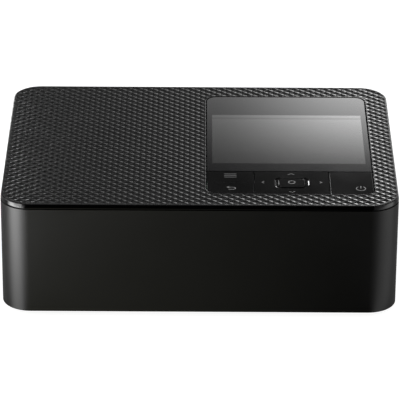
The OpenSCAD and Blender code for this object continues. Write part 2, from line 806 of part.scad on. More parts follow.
module pad_ring() color(gear_white) {
    along_z(key_pivot_z - 0.6, key_pivot_z + 0.25) translate([pad_mid_x, key_mid_y]) difference() {
        soft_square(-ring_x, ring_x, -ring_y, ring_y, 2);
        soft_square(-ring_x + ring_w, ring_x - ring_w, -ring_y + ring_d, ring_y - ring_d, 1);
    }
    for (side = [-1, 1]) {
        rod_x(pad_mid_x + side * (ring_x + 1.2) - 1.3, pad_mid_x + side * (ring_x + 1.2) + 1.3,
              [key_mid_y, key_pivot_z], key_pin_r);
        rod_y(key_mid_y + side * (ring_y + 0.5) - 1.05, key_mid_y + side * (ring_y + 0.5) + 1.05,
              pad_mid_x, key_pivot_z, key_pin_r);
    }
}

module pad_key() color([0.1, 0.1, 0.1]) {
    difference() {
        cap_shell(pad_x0, pad_x1);
        along_z(0, big) ok_area(0.3, 0.3, 2.6);
        // Shallow dish round the confirm key
        along_z(panel_z - 0.4, big) ok_area(1.9, 1.6, 3.8);
    }
    for (i = [2 : 5]) key_stem(dome_sites()[i], 1);
    for (side = [-1, 1]) key_lug(pad_mid_x, key_mid_y + side * (ring_y + 1.1), 1.4, "y");
}

module ok_area(grow_x, grow_y, r) {
    translate([pad_mid_x, key_mid_y])
        soft_square(-ok_w / 2 - grow_x, ok_w / 2 + grow_x, -ok_d / 2 - grow_y, ok_d / 2 + grow_y, r);
}

module ok_key() color([0.12, 0.12, 0.12]) {
    along_z(panel_z - 1.3, panel_z) ok_area(0, 0, 2.3);
    key_stem(dome_sites()[6], 1.5);
}

module power_key() color([0.1, 0.1, 0.1]) {
    cap_shell(power_x0, panel_x1);
    key_stem(dome_sites()[7], 1.5);
}

// ---- frame ----

module plate_profile() {
    difference() {
        union() {
            translate([chassis_y0, floor_z]) square([chassis_y1 - chassis_y0, low_top - floor_z]);
            translate([low_front, floor_z]) square([chassis_y1 - low_front, chassis_top - floor_z]);
        }
        translate([chassis_y0 - slim, floor_z - slim]) square([10, 1.2]);
        for (at = [capstan_at, platen_at, exit_at, pickup_at]) translate(at) circle(shaft_r + run_fit);
        translate(pinch_at) circle(pinch_pin_r + run_fit);
        translate(head_pivot) circle(head_pin_r + run_fit);
    }
}

module bent_foot(y0, y1) {
    difference() {
        box(plate_in - 7, plate_in + slim, y0, y1, floor_z + 0.05, floor_z + plate_t);
        rod_z(0, big, plate_in - 3.6, (y0 + y1) / 2, 1.4);
    }
}

module chassis_left() color(steel) {
    along_x(-plate_out, -plate_in) difference() {
        plate_profile();
        for (at = [supply_at, take_up_at]) translate(at) circle(hub_r + 0.4);
    }
    mirror([1, 0, 0]) {
        bent_foot(-8, 4);
        bent_foot(46, 56);
    }
    for (at = [reduction_at, idler_at]) rod_x(bracket_x + seat_gap, -plate_out + slim, at, stud_r);
    // Bent shelf for the card reader
    box(-plate_out - 12, -plate_in - slim, chassis_y0, -28, low_top - plate_t, low_top);
}

module chassis_right() color(steel) {
    along_x(plate_in, plate_out) difference() {
        plate_profile();
        soft_square(supply_at[0] - spool_case_r - 1, take_up_at[0] + spool_case_r + 1,
                    paper_z + 0.5, spool_z + spool_case_r + 0.8, 5);
        translate(lever_at) circle(lever_pin_r + run_fit);
    }
    bent_foot(-8, 4);
    bent_foot(46, 56);
}

module front_crossmember() color(steel) {
    z0 = bay_z1 + mouth_t + 0.3;
    difference() {
        box(-plate_in + 0.1, plate_in - 0.1, -47, -35, z0, z0 + plate_t);
        for (x = [-45 : 18 : 45]) along_z(0, big) soft_square(x - 5, x + 5, -44, -38, 1.5);
    }
    box(-plate_in + 10, plate_in - 0.1, -35 - slim, -35 + plate_t, z0, z0 + 6);
}

module rear_crossmember() color(steel) difference() {
    union() {
        box(-plate_out, plate_out, chassis_y1 + 0.1, chassis_y1 + plate_t + 0.1, paper_z + 15,
            chassis_top + plate_t);
        box(-plate_out, plate_out, chassis_y1 - 4, chassis_y1 + 0.1 + slim, chassis_top + 0.02,
            chassis_top + plate_t);
    }
    for (x = [-48 : 24 : 48]) along_y(0, big) soft_square(x - 8, x + 8, paper_z + 17.5, chassis_top - 4, 1);
}

module gear_bracket() color(steel) {
    motors = [feed_motor_at, take_up_motor_at, pickup_motor_at];
    spacers = [[-41, floor_z + 8], [-1, floor_z + 39], [-1, floor_z + 7], [59, floor_z + 41]];
    along_x(bracket_x - bracket_t, bracket_x) difference() {
        union() {
            soft_square(-44, -3, floor_z + 5, low_top - plate_t - seat_gap, 3);
            soft_square(-6, 62, floor_z + 3, floor_z + 45, 3);
        }
        // Windows that leave a web between the motors
        soft_square(2, 15, floor_z + 7, floor_z + 39, 3);
        soft_square(-22, -8, floor_z + 24, floor_z + 34, 2);
        for (at = motors) translate(at) circle(bush_r + 0.05);
    }
    for (at = spacers) difference() {
        rod_x(bracket_x - slim, -plate_out - 0.02, at, 2.2);
        rod_x(bracket_x - 1, -plate_out + 1, at, 1.25);
    }
}

module bay_guide(x0, x1, lip_side) {
    difference() {
        union() {
            box(x0, x1, frame_front + mouth_depth + 0.2, guide_step_y, bay_z0 - 1.7, bay_z0 + 24);
            box(x0, x1, guide_step_y - slim, bay_end, bay_z0 - 1.7, bay_z0 + 15);
            box(lip_side > 0 ? x0 : x0 - 1.6, lip_side > 0 ? x1 + 1.6 : x1, frame_front + mouth_depth + 0.2,
                bay_end, bay_z0 + 11.5, bay_z0 + 12.7);
        }
        rod_x(x0 - 3, x1 + 3, pickup_at, shaft_r + 0.6);
        for (y = [-42 : 9 : -15]) along_x(x0 - 3, x1 + 3) soft_square(y - 2.5, y + 2.5, bay_z0 + 2,
                                                                    bay_z0 + 8, 1);
    }
}

module bay_guide_left() color(inner_black) bay_guide(bay_x0 - 1.6, bay_x0 - 0.1, 1);

module bay_guide_right() color(inner_black) {
    bay_guide(bay_x1 + 0.1, bay_x1 + 1.6, -1);
    // Webs out to the right chassis plate
    for (web = [[-46, 20], [-14, 14]])
        box(bay_x1 + 1.6 - slim, plate_in - 0.2, web[0], web[0] + 1.5, floor_z + 0.1, floor_z + web[1]);
}

module feed_guide() color(inner_black) {
    y0 = platen_at[0] + platen_r + 1;
    y1 = capstan_at[0] - capstan_r - 0.6;
    top = paper_z - 0.8;
    difference() {
        box(-plate_in + 0.1, plate_in - 0.1, y0, y1, top - 1.2, top);
        for (x = [-48 : 20 : 52]) along_z(0, big) soft_square(x - 4, x + 4, y0 + 7, y1 - 7, 1.5);
    }
    for (x = [bay_x0 + 6 : 12 : bay_x1 - 4])
        box(x - 0.5, x + 0.5, y0 + 0.5, y1 - 0.5, top - slim, top + 0.5);
}

// ---- paper drive ----

module capstan_roller() color(steel) {
    rod_x(-plate_out - 6.6, plate_out + 1.5, capstan_at, shaft_r);
    rod_x(-plate_in + 1, plate_in - 1, capstan_at, capstan_r);
}

module capstan_gear() color(gear_white) {
    gear_disc(near_gear - gear_w, near_gear, capstan_at, capstan_teeth, 0, shaft_r + 0.01);
    gear_hub(near_gear - gear_w - 1.6, near_gear - gear_w + slim, capstan_at, shaft_r + 0.01, 4);
}

module gear_hub(x0, x1, at, bore, r) {
    along_x(x0, x1) translate(at) difference() {
        circle(r);
        circle(bore);
    }
}

function reduction_turn() =
    mesh_turn(capstan_teeth, 0, reduction_small, angle_of(capstan_at, reduction_at));
function feed_turn() =
    mesh_turn(reduction_teeth, reduction_turn(), feed_pinion_teeth, angle_of(reduction_at, feed_motor_at));
function take_up_turn() =
    mesh_turn(take_up_teeth, 0, small_pinion_teeth, angle_of(take_up_at, take_up_motor_at));
function pickup_turn() =
    mesh_turn(pickup_teeth, 0, small_pinion_teeth, angle_of(pickup_at, pickup_motor_at));
function idler_turn() = mesh_turn(pickup_teeth, 0, idler_teeth, angle_of(pickup_at, idler_at));
function exit_turn() = mesh_turn(idler_teeth, idler_turn(), exit_teeth, angle_of(idler_at, exit_at));

module pinch_roller() color(rubber_black) {
    rod_x(-plate_out - 0.5, plate_out + 0.5, pinch_at, pinch_pin_r);
    for (x = [bay_x0 + 8 : 24 : bay_x1 - 16]) rod_x(x, x + 12, pinch_at, pinch_r);
}

module reduction_gear() color(gear_white) {
    bore = stud_r + run_fit;
    gear_disc(near_gear - gear_w, near_gear, reduction_at, reduction_small, reduction_turn(), bore);
    gear_hub(far_gear - slim, near_gear - gear_w + slim, reduction_at, bore, 3.2);
    gear_disc(far_gear - gear_w, far_gear, reduction_at, reduction_teeth, reduction_turn(), bore);
}

module motor(at, can, ears) {
    x1 = bracket_x - bracket_t - 0.02;
    color(steel) difference() {
        union() {
            rod_x(x1 - can[1], x1, at, can[0]);
            rod_x(x1 - slim, bracket_x + 0.2, at, bush_r);
            // Mounting ears
            if (ears > 0) along_x(x1 - 1, x1)
                translate(at) rotate(35) soft_square(-ears, ears, -3, 3, 2.9);
        }
        rod_x(x1 - can[1] + 2, bracket_x + 1, at, pinion_shaft_r + 0.05);
    }
}

module pinion(at, teeth, turn) color([0.8, 0.66, 0.35]) {
    gear_disc(far_gear - gear_w, far_gear, at, teeth, turn, pinion_shaft_r - 0.1);
    rod_x(bracket_x - bracket_t - 5, far_gear, at, pinion_shaft_r);
}

module near_pinion(at, teeth, turn) color([0.8, 0.66, 0.35]) {
    gear_disc(near_gear - gear_w, near_gear, at, teeth, turn, pinion_shaft_r - 0.1);
    rod_x(bracket_x - bracket_t - 5, near_gear, at, pinion_shaft_r);
}

module feed_motor() motor(feed_motor_at, feed_can, 14);
module feed_pinion() pinion(feed_motor_at, feed_pinion_teeth, feed_turn());
module take_up_motor() motor(take_up_motor_at, small_can, 0);
module take_up_pinion() pinion(take_up_motor_at, small_pinion_teeth, take_up_turn());
module pickup_motor() motor(pickup_motor_at, small_can, 0);
module pickup_pinion() near_pinion(pickup_motor_at, small_pinion_teeth, pickup_turn());

module platen_roller() color(rubber_black) {
    rod_x(-plate_out - 1.5, plate_out + 1.5, platen_at, shaft_r);
    rod_x(paper_x - 56, paper_x + 56, platen_at, platen_r);
}

module pickup_shaft() color(steel) rod_x(-plate_out - 6.6, plate_out + 1.5, pickup_at, shaft_r);

module pickup_tyres() color(rubber_black)
    for (x = [paper_x - 26, paper_x + 14]) difference() {
        rod_x(x, x + 12, pickup_at, tyre_r);
        rod_x(x - 1, x + 13, pickup_at, shaft_r + 0.01);
        for (a = [0 : 60 : 300]) rod_x(x - 1, x + 1.5, step_from(pickup_at, a, 5), 1.4);
    }

module pickup_gear() color(gear_white)
    gear_disc(near_gear - gear_w, near_gear, pickup_at, pickup_teeth, 0, shaft_r + 0.01);

module idler_gear() color(gear_white)
    gear_disc(near_gear - gear_w, near_gear, idler_at, idler_teeth, idler_turn(), stud_r + run_fit);

module exit_roller() color(rubber_black) {
    rod_x(-plate_out - 3.6, plate_out + 1.5, exit_at, shaft_r);
    for (x = [bay_x0 + 12 : 30 : bay_x1 - 20]) rod_x(x, x + 12, exit_at, exit_r);
}

module exit_gear() color(gear_white)
    gear_disc(near_gear - gear_w, near_gear, exit_at, exit_teeth, exit_turn(), shaft_r + 0.01);

// ---- print head ----

module lifted() {
    translate([0, head_pivot[0], head_pivot[1]]) rotate([-head_lift, 0, 0])
        translate([0, -head_pivot[0], -head_pivot[1]]) children();
}

module head_arm() color(steel) lifted() {
    x1 = plate_in - 1.2;
    difference() {
        box(-x1, x1, arm_front, head_pivot[0] - 1.2, arm_z, arm_z + arm_t);
        for (x = [-42 : 28 : 42]) along_z(0, big) soft_square(x - 9, x + 9, 25, 47, 2);
    }
    both_sides() {
        rod_x(x1 - 3, x1, head_pivot, 2.4);
        rod_x(x1 - 3, plate_out + 1, head_pivot, head_pin_r);
        box(x1 - 3, x1, head_pivot[0] - 3.5, head_pivot[0], head_pivot[1] - 1, arm_z + arm_t);
    }
}

module thermal_head() color([0.75, 0.72, 0.66]) lifted() {
    y = platen_at[0];
    box(paper_x - 52, paper_x + 52, y - 4.5, y + 4.5, head_z + 0.4, head_z + 2.4);
    // Glazed ridge that carries the heating dots
    intersection() {
        rod_x(paper_x - 52, paper_x + 52, [y, head_z + 3], 3);
        box(-big, big, y - 3, y + 3, head_z, head_z + 0.4 + slim);
    }
}

module heat_sink() color(steel) lifted() {
    y = platen_at[0];
    base = head_z + 2.42;
    box(paper_x - 52, paper_x + 52, y - 5.5, y + 5.5, base, base + 3);
    box(paper_x - 52, paper_x + 52, y - 1.6, y + 1.6, base, arm_z - 0.02);
    for (z = [base + 6 : 3.4 : arm_z - 1.5])
        box(paper_x - 52, paper_x + 52, y - 7.5, y + 7.5, z, z + 1.2);
}

// ---- ink ----

module spool_housing(at, cut_y0, cut_y1) {
    difference() {
        rod_x(case_x0, case_x1, at, spool_case_r);
        rod_x(case_x0 + end_t, case_x1 - end_t, at, spool_case_r - case_t);
        rod_x(case_x0 - 1, case_x1 + 1, at, hub_r + 0.3);
        // Slot that lets the film out
        box(case_x0 + end_t + 0.5, case_x1 - end_t - 0.5, cut_y0, cut_y1, at[1] - spool_case_r - 1,
            at[1] - 4.5);
    }
}

module ink_cassette_case() color([0.16, 0.17, 0.19]) {
    spool_housing(supply_at, supply_at[0] + 2.5, supply_at[0] + 10);
    spool_housing(take_up_at, take_up_at[0] - 10, take_up_at[0] - 2.5);
    // End frames that join the two housings under the print head
    for (x = [case_x0, case_x1 - end_t]) difference() {
        box(x, x + end_t, supply_at[0], take_up_at[0], film_z + 0.4, film_z + 2.4);
        for (at = [supply_at, take_up_at]) rod_x(x - 1, x + end_t + 1, at, spool_case_r - case_t);
    }
    for (x = [case_x0, case_x1 - end_t]) for (at = [supply_at, take_up_at])
        difference() {
            box(x, x + end_t, at[0] - 4, at[0] + 4, film_z + 0.4, at[1] - 5);
            rod_x(x - 1, x + end_t + 1, at, spool_case_r - case_t);
        }
}

module ink_ribbon() color([0.75, 0.62, 0.12]) along_x(paper_x - film_w / 2, paper_x + film_w / 2) {
    from = [supply_at[0] + 2, spool_z - supply_roll_r - 0.3];
    low_a = [platen_at[0] - 12, film_z];
    low_b = [platen_at[0] + 12, film_z];
    to = [take_up_at[0] - 2, spool_z - take_up_roll_r - 0.3];
    polygon([from, low_a, low_b, to, to + [0, film_t], low_b + [0, film_t], low_a + [0, film_t],
             from + [0, film_t]]);
}

module spool(at, roll_r, x_left) {
    rod_x(x_left, case_x1 - 0.3, at, hub_r);
    rod_x(paper_x - film_w / 2, paper_x + film_w / 2, at, roll_r);
    // Flanges at the film's edges
    for (x = [paper_x - film_w / 2 - 1.1, paper_x + film_w / 2 + 0.1])
        rod_x(x, x + 1, at, spool_case_r - case_t - 0.6);
}

module supply_spool() color([0.8, 0.68, 0.2]) spool(supply_at, supply_roll_r, -plate_out - 1.5);
module take_up_spool() color([0.3, 0.3, 0.32]) spool(take_up_at, take_up_roll_r, -plate_out - 6);

module take_up_gear() color(gear_white) {
    gear_disc(far_gear - gear_w, far_gear, take_up_at, take_up_teeth, 0, hub_r + 0.01);
}

// ---- electrics ----

module main_board() {
    color(board_green) difference() {
        box(board_x0, 56, board_y0, board_y1, main_z, main_z + main_t);
        for (x = board_posts_x, y = board_posts_y) rod_z(0, big, x, y, 1.3);
    }
    color([0.1, 0.1, 0.1]) {
        top = main_z + main_t - slim;
        // Chips, capacitors and cable connectors
        for (chip = [[-6, 36, 14, 14, 1.4], [16, 30, 10, 6, 1.1], [-34, 28, 10, 7, 1.1]])
            translate([chip[0], chip[1], top]) cube([chip[2], chip[3], chip[4]]);
        for (x = [30, 38, 46]) rod_z(top, top + 4.6, x, 48, 2.6);
        for (plug = [[-22, 24, 12, 4], [14, 24, 16, 3.4]])
            translate([plug[0], plug[1], top]) cube([plug[2], plug[3], 3.4]);
    }
}

module fan_frame() color([0.07, 0.07, 0.07]) {
    h = fan_s / 2;
    difference() {
        along_y(fan_y, fan_y + fan_t) soft_square(fan_x - h, fan_x + h, fan_z - h, fan_z + h, 2);
        rod_y(fan_y - 1, fan_y + fan_t + 1, fan_x, fan_z, fan_bore);
        for (x = [-1, 1], z = [-1, 1])
            rod_y(fan_y - 1, fan_y + fan_t + 1, fan_x + x * (h - 2.4), fan_z + z * (h - 2.4), 1.1);
    }
    // Spider that carries the rotor's pin
    rod_y(fan_y + fan_t - 1, fan_y + fan_t, fan_x, fan_z, 5);
    for (a = [20 : 90 : 290]) translate([fan_x, 0, fan_z]) rotate([0, a, 0])
        box(4, fan_bore + 0.4, fan_y + fan_t - 1, fan_y + fan_t, -0.8, 0.8);
    rod_y(fan_y + 1, fan_y + fan_t - 1 + slim, fan_x, fan_z, fan_pin_r);
}

module fan_rotor() color([0.12, 0.12, 0.12]) difference() {
    union() {
        rod_y(fan_y + 0.4, fan_y + fan_t - 1.3, fan_x, fan_z, 4.8);
        intersection() {
            rod_y(fan_y + 0.4, fan_y + fan_t - 1.3, fan_x, fan_z, fan_bore - 0.5);
            for (i = [0 : 6]) translate([fan_x, fan_y + fan_t / 2 - 0.4, fan_z]) rotate([0, i * 360 / 7, 0])
                rotate([38, 0, 0]) box(3.5, 14, -4, 4, -0.4, 0.4);
        }
    }
    rod_y(fan_y - 1, fan_y + fan_t - 1.2, fan_x, fan_z, fan_pin_r + run_fit);
}

module dc_inlet() color([0.06, 0.06, 0.06]) {
    y1 = rear_y - 0.4;
    difference() {
        union() {
            box(dc_x - 4.6, dc_x + 4.6, rear_in - 7.6, rear_in - 0.1, main_z + main_t + 0.02, dc_z() + 4.8);
            rod_y(rear_in - 0.1 - slim, y1, dc_x, dc_z(), 4.2);
        }
        rod_y(y1 - 8.4, y1 + 1, dc_x, dc_z(), 3);
    }
    rod_y(y1 - 8.4 - slim, y1 - 0.8, dc_x, dc_z(), 0.85);
}

module usb_socket() color(steel) difference() {
    along_y(rear_in - 6, rear_y - 0.6)
        soft_square(usb_x - 4.5, usb_x + 4.5, usb_z() - 1.65, usb_z() + 1.65, 1.6);
    along_y(rear_in - 5, rear_y)
        soft_square(usb_x - 4.2, usb_x + 4.2, usb_z() - 1.35, usb_z() - 0.35, 0.45);
    along_y(rear_in - 5, rear_y)
        soft_square(usb_x - 4.2, usb_x + 4.2, usb_z() + 0.35, usb_z() + 1.35, 0.45);
}

module card_reader() color(steel) difference() {
    box(-inner_w + 0.3, -plate_in + 4, card_y0, card_y0 + card_w, card_z, card_z + card_h);
    box(-half_w, -plate_in + 1.5, card_y0 + 0.8, card_y0 + card_w - 0.8, card_z + 0.7, card_z + 3.1);
}

module eject_lever() color([0.35, 0.36, 0.38]) {
    x0 = plate_out + 0.2;
    rod_x(x0, x0 + lever_t, lever_at, 3);
    along_x(x0, x0 + lever_t) translate(lever_at) rotate(lever_tilt) soft_square(-1, 11, -2, 2, 1.5);
    // Thumb tab
    along_x(x0, x0 + 5) translate(lever_at) rotate(lever_tilt) soft_square(8, 11, -2, 2, 1);
    rod_x(plate_in - 0.6, x0 + slim, lever_at, lever_pin_r);
}

module case_screws() color([0.2, 0.2, 0.2])
    for (x = [-screw_x, screw_x], y = screw_ys) difference() {
        union() {
            rod_z(foot_h + 0.4, foot_h + 1.78, x, y, screw_head_r);
            rod_z(foot_h + 1.7, floor_z + 8, x, y, screw_r);
        }
        for (a = [0, 90]) translate([x, y, foot_h + 0.3]) rotate(a) box(-1.5, 1.5, -0.3, 0.3, 0, 0.8);
    }

base_tray();
rubber_feet();
side_cover_left();
side_cover_right();
rear_cover();
top_cover();
front_frame();
front_door();
ink_door();
lcd_window();
lcd_module();
panel_frame();
key_board();
key_carrier();
menu_key();
pad_ring();
pad_key();
ok_key();
power_key();
chassis_left();
chassis_right();
front_crossmember();
rear_crossmember();
gear_bracket();
bay_guide_left();
bay_guide_right();
feed_guide();
capstan_roller();
capstan_gear();
pinch_roller();
reduction_gear();
feed_motor();
feed_pinion();
platen_roller();
pickup_shaft();
pickup_tyres();
pickup_gear();
pickup_motor();
pickup_pinion();
idler_gear();
exit_roller();
exit_gear();
head_arm();
thermal_head();
heat_sink();
ink_cassette_case();
ink_ribbon();
supply_spool();
take_up_spool();
take_up_gear();
take_up_motor();
take_up_pinion();
main_board();
fan_frame();
fan_rotor();
dc_inlet();
usb_socket();
card_reader();
eject_lever();
case_screws();
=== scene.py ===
"""Looks of a compact postcard photo printer, built round its packed construction.

The construction comes in as a fixed frame. This script gives every piece its finish, makes the
dimpled top, the pad's surround and the key marks as meshes, rounds the moulded edges, and sets up
a plain studio. Lengths are in metres; the small ones are written as millimetres times MM.
"""

import json
import logging
import math
from dataclasses import dataclass
from enum import Enum
from typing import Callable, Iterable, Sequence

import bpy
import numpy as np
from mathutils import Matrix, Vector
from mathutils.geometry import delaunay_2d_cdt


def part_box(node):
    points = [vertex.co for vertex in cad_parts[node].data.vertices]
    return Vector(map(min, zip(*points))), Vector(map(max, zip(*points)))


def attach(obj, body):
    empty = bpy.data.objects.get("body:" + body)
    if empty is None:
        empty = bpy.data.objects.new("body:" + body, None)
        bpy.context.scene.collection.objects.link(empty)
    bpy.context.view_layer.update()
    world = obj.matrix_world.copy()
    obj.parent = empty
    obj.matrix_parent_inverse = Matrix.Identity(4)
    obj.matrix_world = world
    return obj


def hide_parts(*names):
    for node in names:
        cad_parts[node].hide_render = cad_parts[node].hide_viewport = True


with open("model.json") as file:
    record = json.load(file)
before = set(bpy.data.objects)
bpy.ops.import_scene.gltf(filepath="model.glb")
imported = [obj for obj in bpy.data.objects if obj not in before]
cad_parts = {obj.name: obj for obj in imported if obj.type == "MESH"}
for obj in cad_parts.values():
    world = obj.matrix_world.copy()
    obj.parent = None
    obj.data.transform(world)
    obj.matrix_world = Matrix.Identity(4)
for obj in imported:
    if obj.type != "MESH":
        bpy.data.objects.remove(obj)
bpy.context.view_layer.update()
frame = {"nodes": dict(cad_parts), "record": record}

MM = 0.001
LOG = logging.getLogger("printer")

Colour = tuple[float, float, float]
Point = tuple[float, float, float]
Plan = tuple[float, float]
Face = tuple[int, ...]
Settings = dict[str, object]
Sockets = dict[str | int, object]


# ---- colours ----


def grey(level: float) -> Colour:
    """A neutral colour."""
    return (level, level, level)


def tinted(colour: Colour, factor: float, lift: float = 0.0) -> Colour:
    """A colour with each part multiplied by the factor and then raised by the lift."""
    return tuple(part * factor + lift for part in colour)


WHITE = grey(1.0)
BOARD_GREEN: Colour = (0.012, 0.11, 0.045)


# ---- shader graph ----


def _math(operation: str, swapped: bool = False) -> Callable[..., "Shade"]:
    """Makes a method of Shade that adds one Math node.

    Args:
        operation: the node's operation.
        swapped: whether the other value comes first, as in Python's reflected operators.

    Returns:
        The method. It takes a number or a Shade, or nothing where one value is enough.
    """

    def method(self: "Shade", other: "Shade | float" = 0.0) -> "Shade":
        """Adds the node and returns its value."""
        values = (other, self) if swapped else (self, other)
        return self.graph.shade("Math", {"operation": operation}, dict(enumerate(values)))

    return method


class Shade:
    """A value, colour or vector of a node tree, with the operators that shader maths needs.

    A comparison gives 1 where it holds and 0 elsewhere, most() the greater of two values, least()
    the lesser, and size() the value without its sign.
    """

    __add__, __radd__ = _math("ADD"), _math("ADD", swapped=True)
    __sub__, __rsub__ = _math("SUBTRACT"), _math("SUBTRACT", swapped=True)
    __mul__, __rmul__ = _math("MULTIPLY"), _math("MULTIPLY", swapped=True)
    __truediv__, __gt__ = _math("DIVIDE"), _math("GREATER_THAN")
    most, least = _math("MAXIMUM"), _math("MINIMUM")
    sine, exponent, size = _math("SINE"), _math("EXPONENT"), _math("ABSOLUTE")

    def __init__(self, graph: "Graph", socket: bpy.types.NodeSocket) -> None:
        """Wraps one output socket of the graph's tree."""
        self.graph = graph
        self.socket = socket

    def swing(self, reach: float) -> "Shade":
        """A value from 0 to 1, turned into one that is reach wide and has nought in its middle."""
        return (self - 0.5) * reach

    def ease(self, low: float, high: float) -> "Shade":
        """A smooth rise from 0 at low to 1 at high.

        Args:
            low: the value where the rise starts.
            high: the value where it ends.

        Returns:
            The rise, held at 0 below low and at 1 above high.
        """
        return self.graph.shade(
            "MapRange",
            {"interpolation_type": "SMOOTHSTEP"},
            {"Value": self, "From Min": low, "From Max": high, "To Min": 0.0, "To Max": 1.0},
        )


class Graph:
    """A node tree, and the one way that nodes are added to it."""

    def __init__(self, tree: bpy.types.NodeTree) -> None:
        """Empties the tree and keeps it."""
        self.tree = tree
        tree.nodes.clear()

    def node(
        self, kind: str, settings: Settings | None = None, sockets: Sockets | None = None
    ) -> bpy.types.Node:
        """Adds a node.

        Args:
            kind: the node's type, without Blender's prefix for shader nodes.
            settings: its properties, and a ramp's stops.
            sockets: numbers, colours or Shades for its inputs, by name or place.

        Returns:
            The node.
        """
        made = self.tree.nodes.new("ShaderNode" + kind)
        for name, value in (settings or {}).items():
            if name == "stops":
                self._stops(made.color_ramp, value)
            else:
                setattr(made, name, value)
        for key, value in (sockets or {}).items():
            socket = made.inputs[key]
            if isinstance(value, Shade):
                self.tree.links.new(value.socket, socket)
            elif socket.type == "RGBA":
                socket.default_value = (*value, 1.0)
            else:
                socket.default_value = value
        return made

    @staticmethod
    def _stops(ramp: bpy.types.ColorRamp, stops: Sequence[tuple[float, Colour]]) -> None:
        """Gives a ramp plain steps, each from a place between 0 and 1 and in one colour.

        Args:
            ramp: the ramp of a colour ramp's node.
            stops: each step's place and colour.
        """
        ramp.interpolation = "CONSTANT"
        while len(ramp.elements) < len(stops):
            ramp.elements.new(1.0)
        for element, (place, colour) in zip(ramp.elements, stops):
            element.position = place
            element.color = (*colour, 1.0)

    def shade(
        self,
        kind: str,
        settings: Settings | None = None,
        sockets: Sockets | None = None,
        output: str | int = 0,
    ) -> Shade:
        """Adds a node as node() does and returns one of its outputs."""
        return Shade(self, self.node(kind, settings, sockets).outputs[output])

    def position(self) -> Shade:
        """The place on the piece at rest, in metres in the printer's own frame."""
        return self.shade("TexCoord", output="Object")

    def axes(self) -> tuple[Shade, Shade, Shade]:
        """The three parts of position()."""
        parts = self.node("SeparateXYZ", None, {0: self.position()})
        return tuple(Shade(self, parts.outputs[i]) for i in range(3))

    def noise(self, cell: float, detail: float = 2.0, stretch: Point = (1.0, 1.0, 1.0)) -> Shade:
        """Soft noise from 0 to 1.

        Args:
            cell: size of its patches in metres.
            detail: how many finer layers it has.
            stretch: how much finer it is along each axis.

        Returns:
            The noise value.
        """
        place = self.shade(
            "VectorMath", {"operation": "MULTIPLY"}, {0: self.position(), 1: stretch}
        )
        return self.shade(
            "TexNoise",
            {"normalize": True},
            {"Vector": place, "Scale": 1.0 / cell, "Detail": detail},
            "Fac",
        )

    def cells(self, size: float, distance: str, randomness: float, output: str) -> Shade:
        """One output of Voronoi cells.

        Args:
            size: the width of a cell in metres.
            distance: how distance is measured, by the name that Blender has for it.
            randomness: how far the cells stray from a plain grid, from 0 to 1.
            output: the output's name.

        Returns:
            That output.
        """
        return self.shade(
            "TexVoronoi",
            {"feature": "F1", "distance": distance},
            {"Vector": self.position(), "Scale": 1.0 / size, "Randomness": randomness},
            output,
        )

    def blend(self, share: Shade, first: Shade | Colour, second: Shade | Colour) -> Shade:
        """Mixes two colours, from the first at share 0 to the second at share 1."""
        sockets = {0: share, 6: first, 7: second}
        return self.shade("Mix", {"data_type": "RGBA"}, sockets, 2)

    def bump(self, height: Shade, depth: float) -> Shade:
        """A normal for a surface with small heights and hollows.

        Args:
            height: its height as a value from 0 to 1.
            depth: how far a height of 1 stands proud, in metres.

        Returns:
            The normal.
        """
        return self.shade(
            "Bump", None, {"Strength": 1.0, "Distance": depth, "Height": height}, "Normal"
        )

    def surface(self, shader: Shade) -> None:
        """Makes a material show a shader."""
        self.node("OutputMaterial", None, {"Surface": shader})


def new_material(name: str) -> tuple[bpy.types.Material, Graph]:
    """Makes a material and the graph of its empty tree.

    Args:
        name: the material's name.

    Returns:
        The material and its graph.
    """
    made = bpy.data.materials.new(name)
    made.use_nodes = True
    return made, Graph(made.node_tree)


# ---- finishes ----


@dataclass(frozen=True)
class Finish:
    """What every finish has; each kind adds its own pattern."""

    name: str
    colour: Colour
    roughness: float
    specular: float = 0.5
    metallic: float = 0.0

    def pattern(self, graph: Graph) -> Sockets:
        """The Principled sockets that change over the surface, by name."""
        raise NotImplementedError

    def constants(self) -> Sockets:
        """The Principled sockets that are the same all over."""
        return {"Specular IOR Level": self.specular, "Metallic": self.metallic}

    def material(self) -> bpy.types.Material:
        """Builds the finish's material, or takes the one that is there by its name.

        Returns:
            The material.
        """
        made = bpy.data.materials.get(self.name)
        if made is None:
            made, graph = new_material(self.name)
            sockets = {**self.constants(), **self.pattern(graph)}
            graph.surface(graph.shade("BsdfPrincipled", None, sockets, "BSDF"))
        return made


@dataclass(frozen=True)
class Moulding(Finish):
    """Moulded plastic with a spark-eroded grain and a slight mottle."""

    grain: float = 0.35 * MM
    grain_depth: float = 0.006 * MM
    patch: float = 18 * MM
    mottle: float = 0.12

    def pattern(self, graph: Graph) -> Sockets:
        """Colour, roughness and grain of the plastic.

        Args:
            graph: the material's graph.

        Returns:
            The sockets that change over the surface, by name.
        """
        patches = graph.noise(self.patch, 3.0)
        grain = graph.noise(self.grain, 2.0)
        darker = tinted(self.colour, 1.0 - self.mottle)
        lighter = tinted(self.colour, 1.0 + self.mottle)
        return {
            "Base Color": graph.blend(patches, darker, lighter),
            "Roughness": self.roughness + patches.swing(0.08) + grain.swing(0.05),
            "Normal": graph.bump(grain, self.grain_depth),
        }


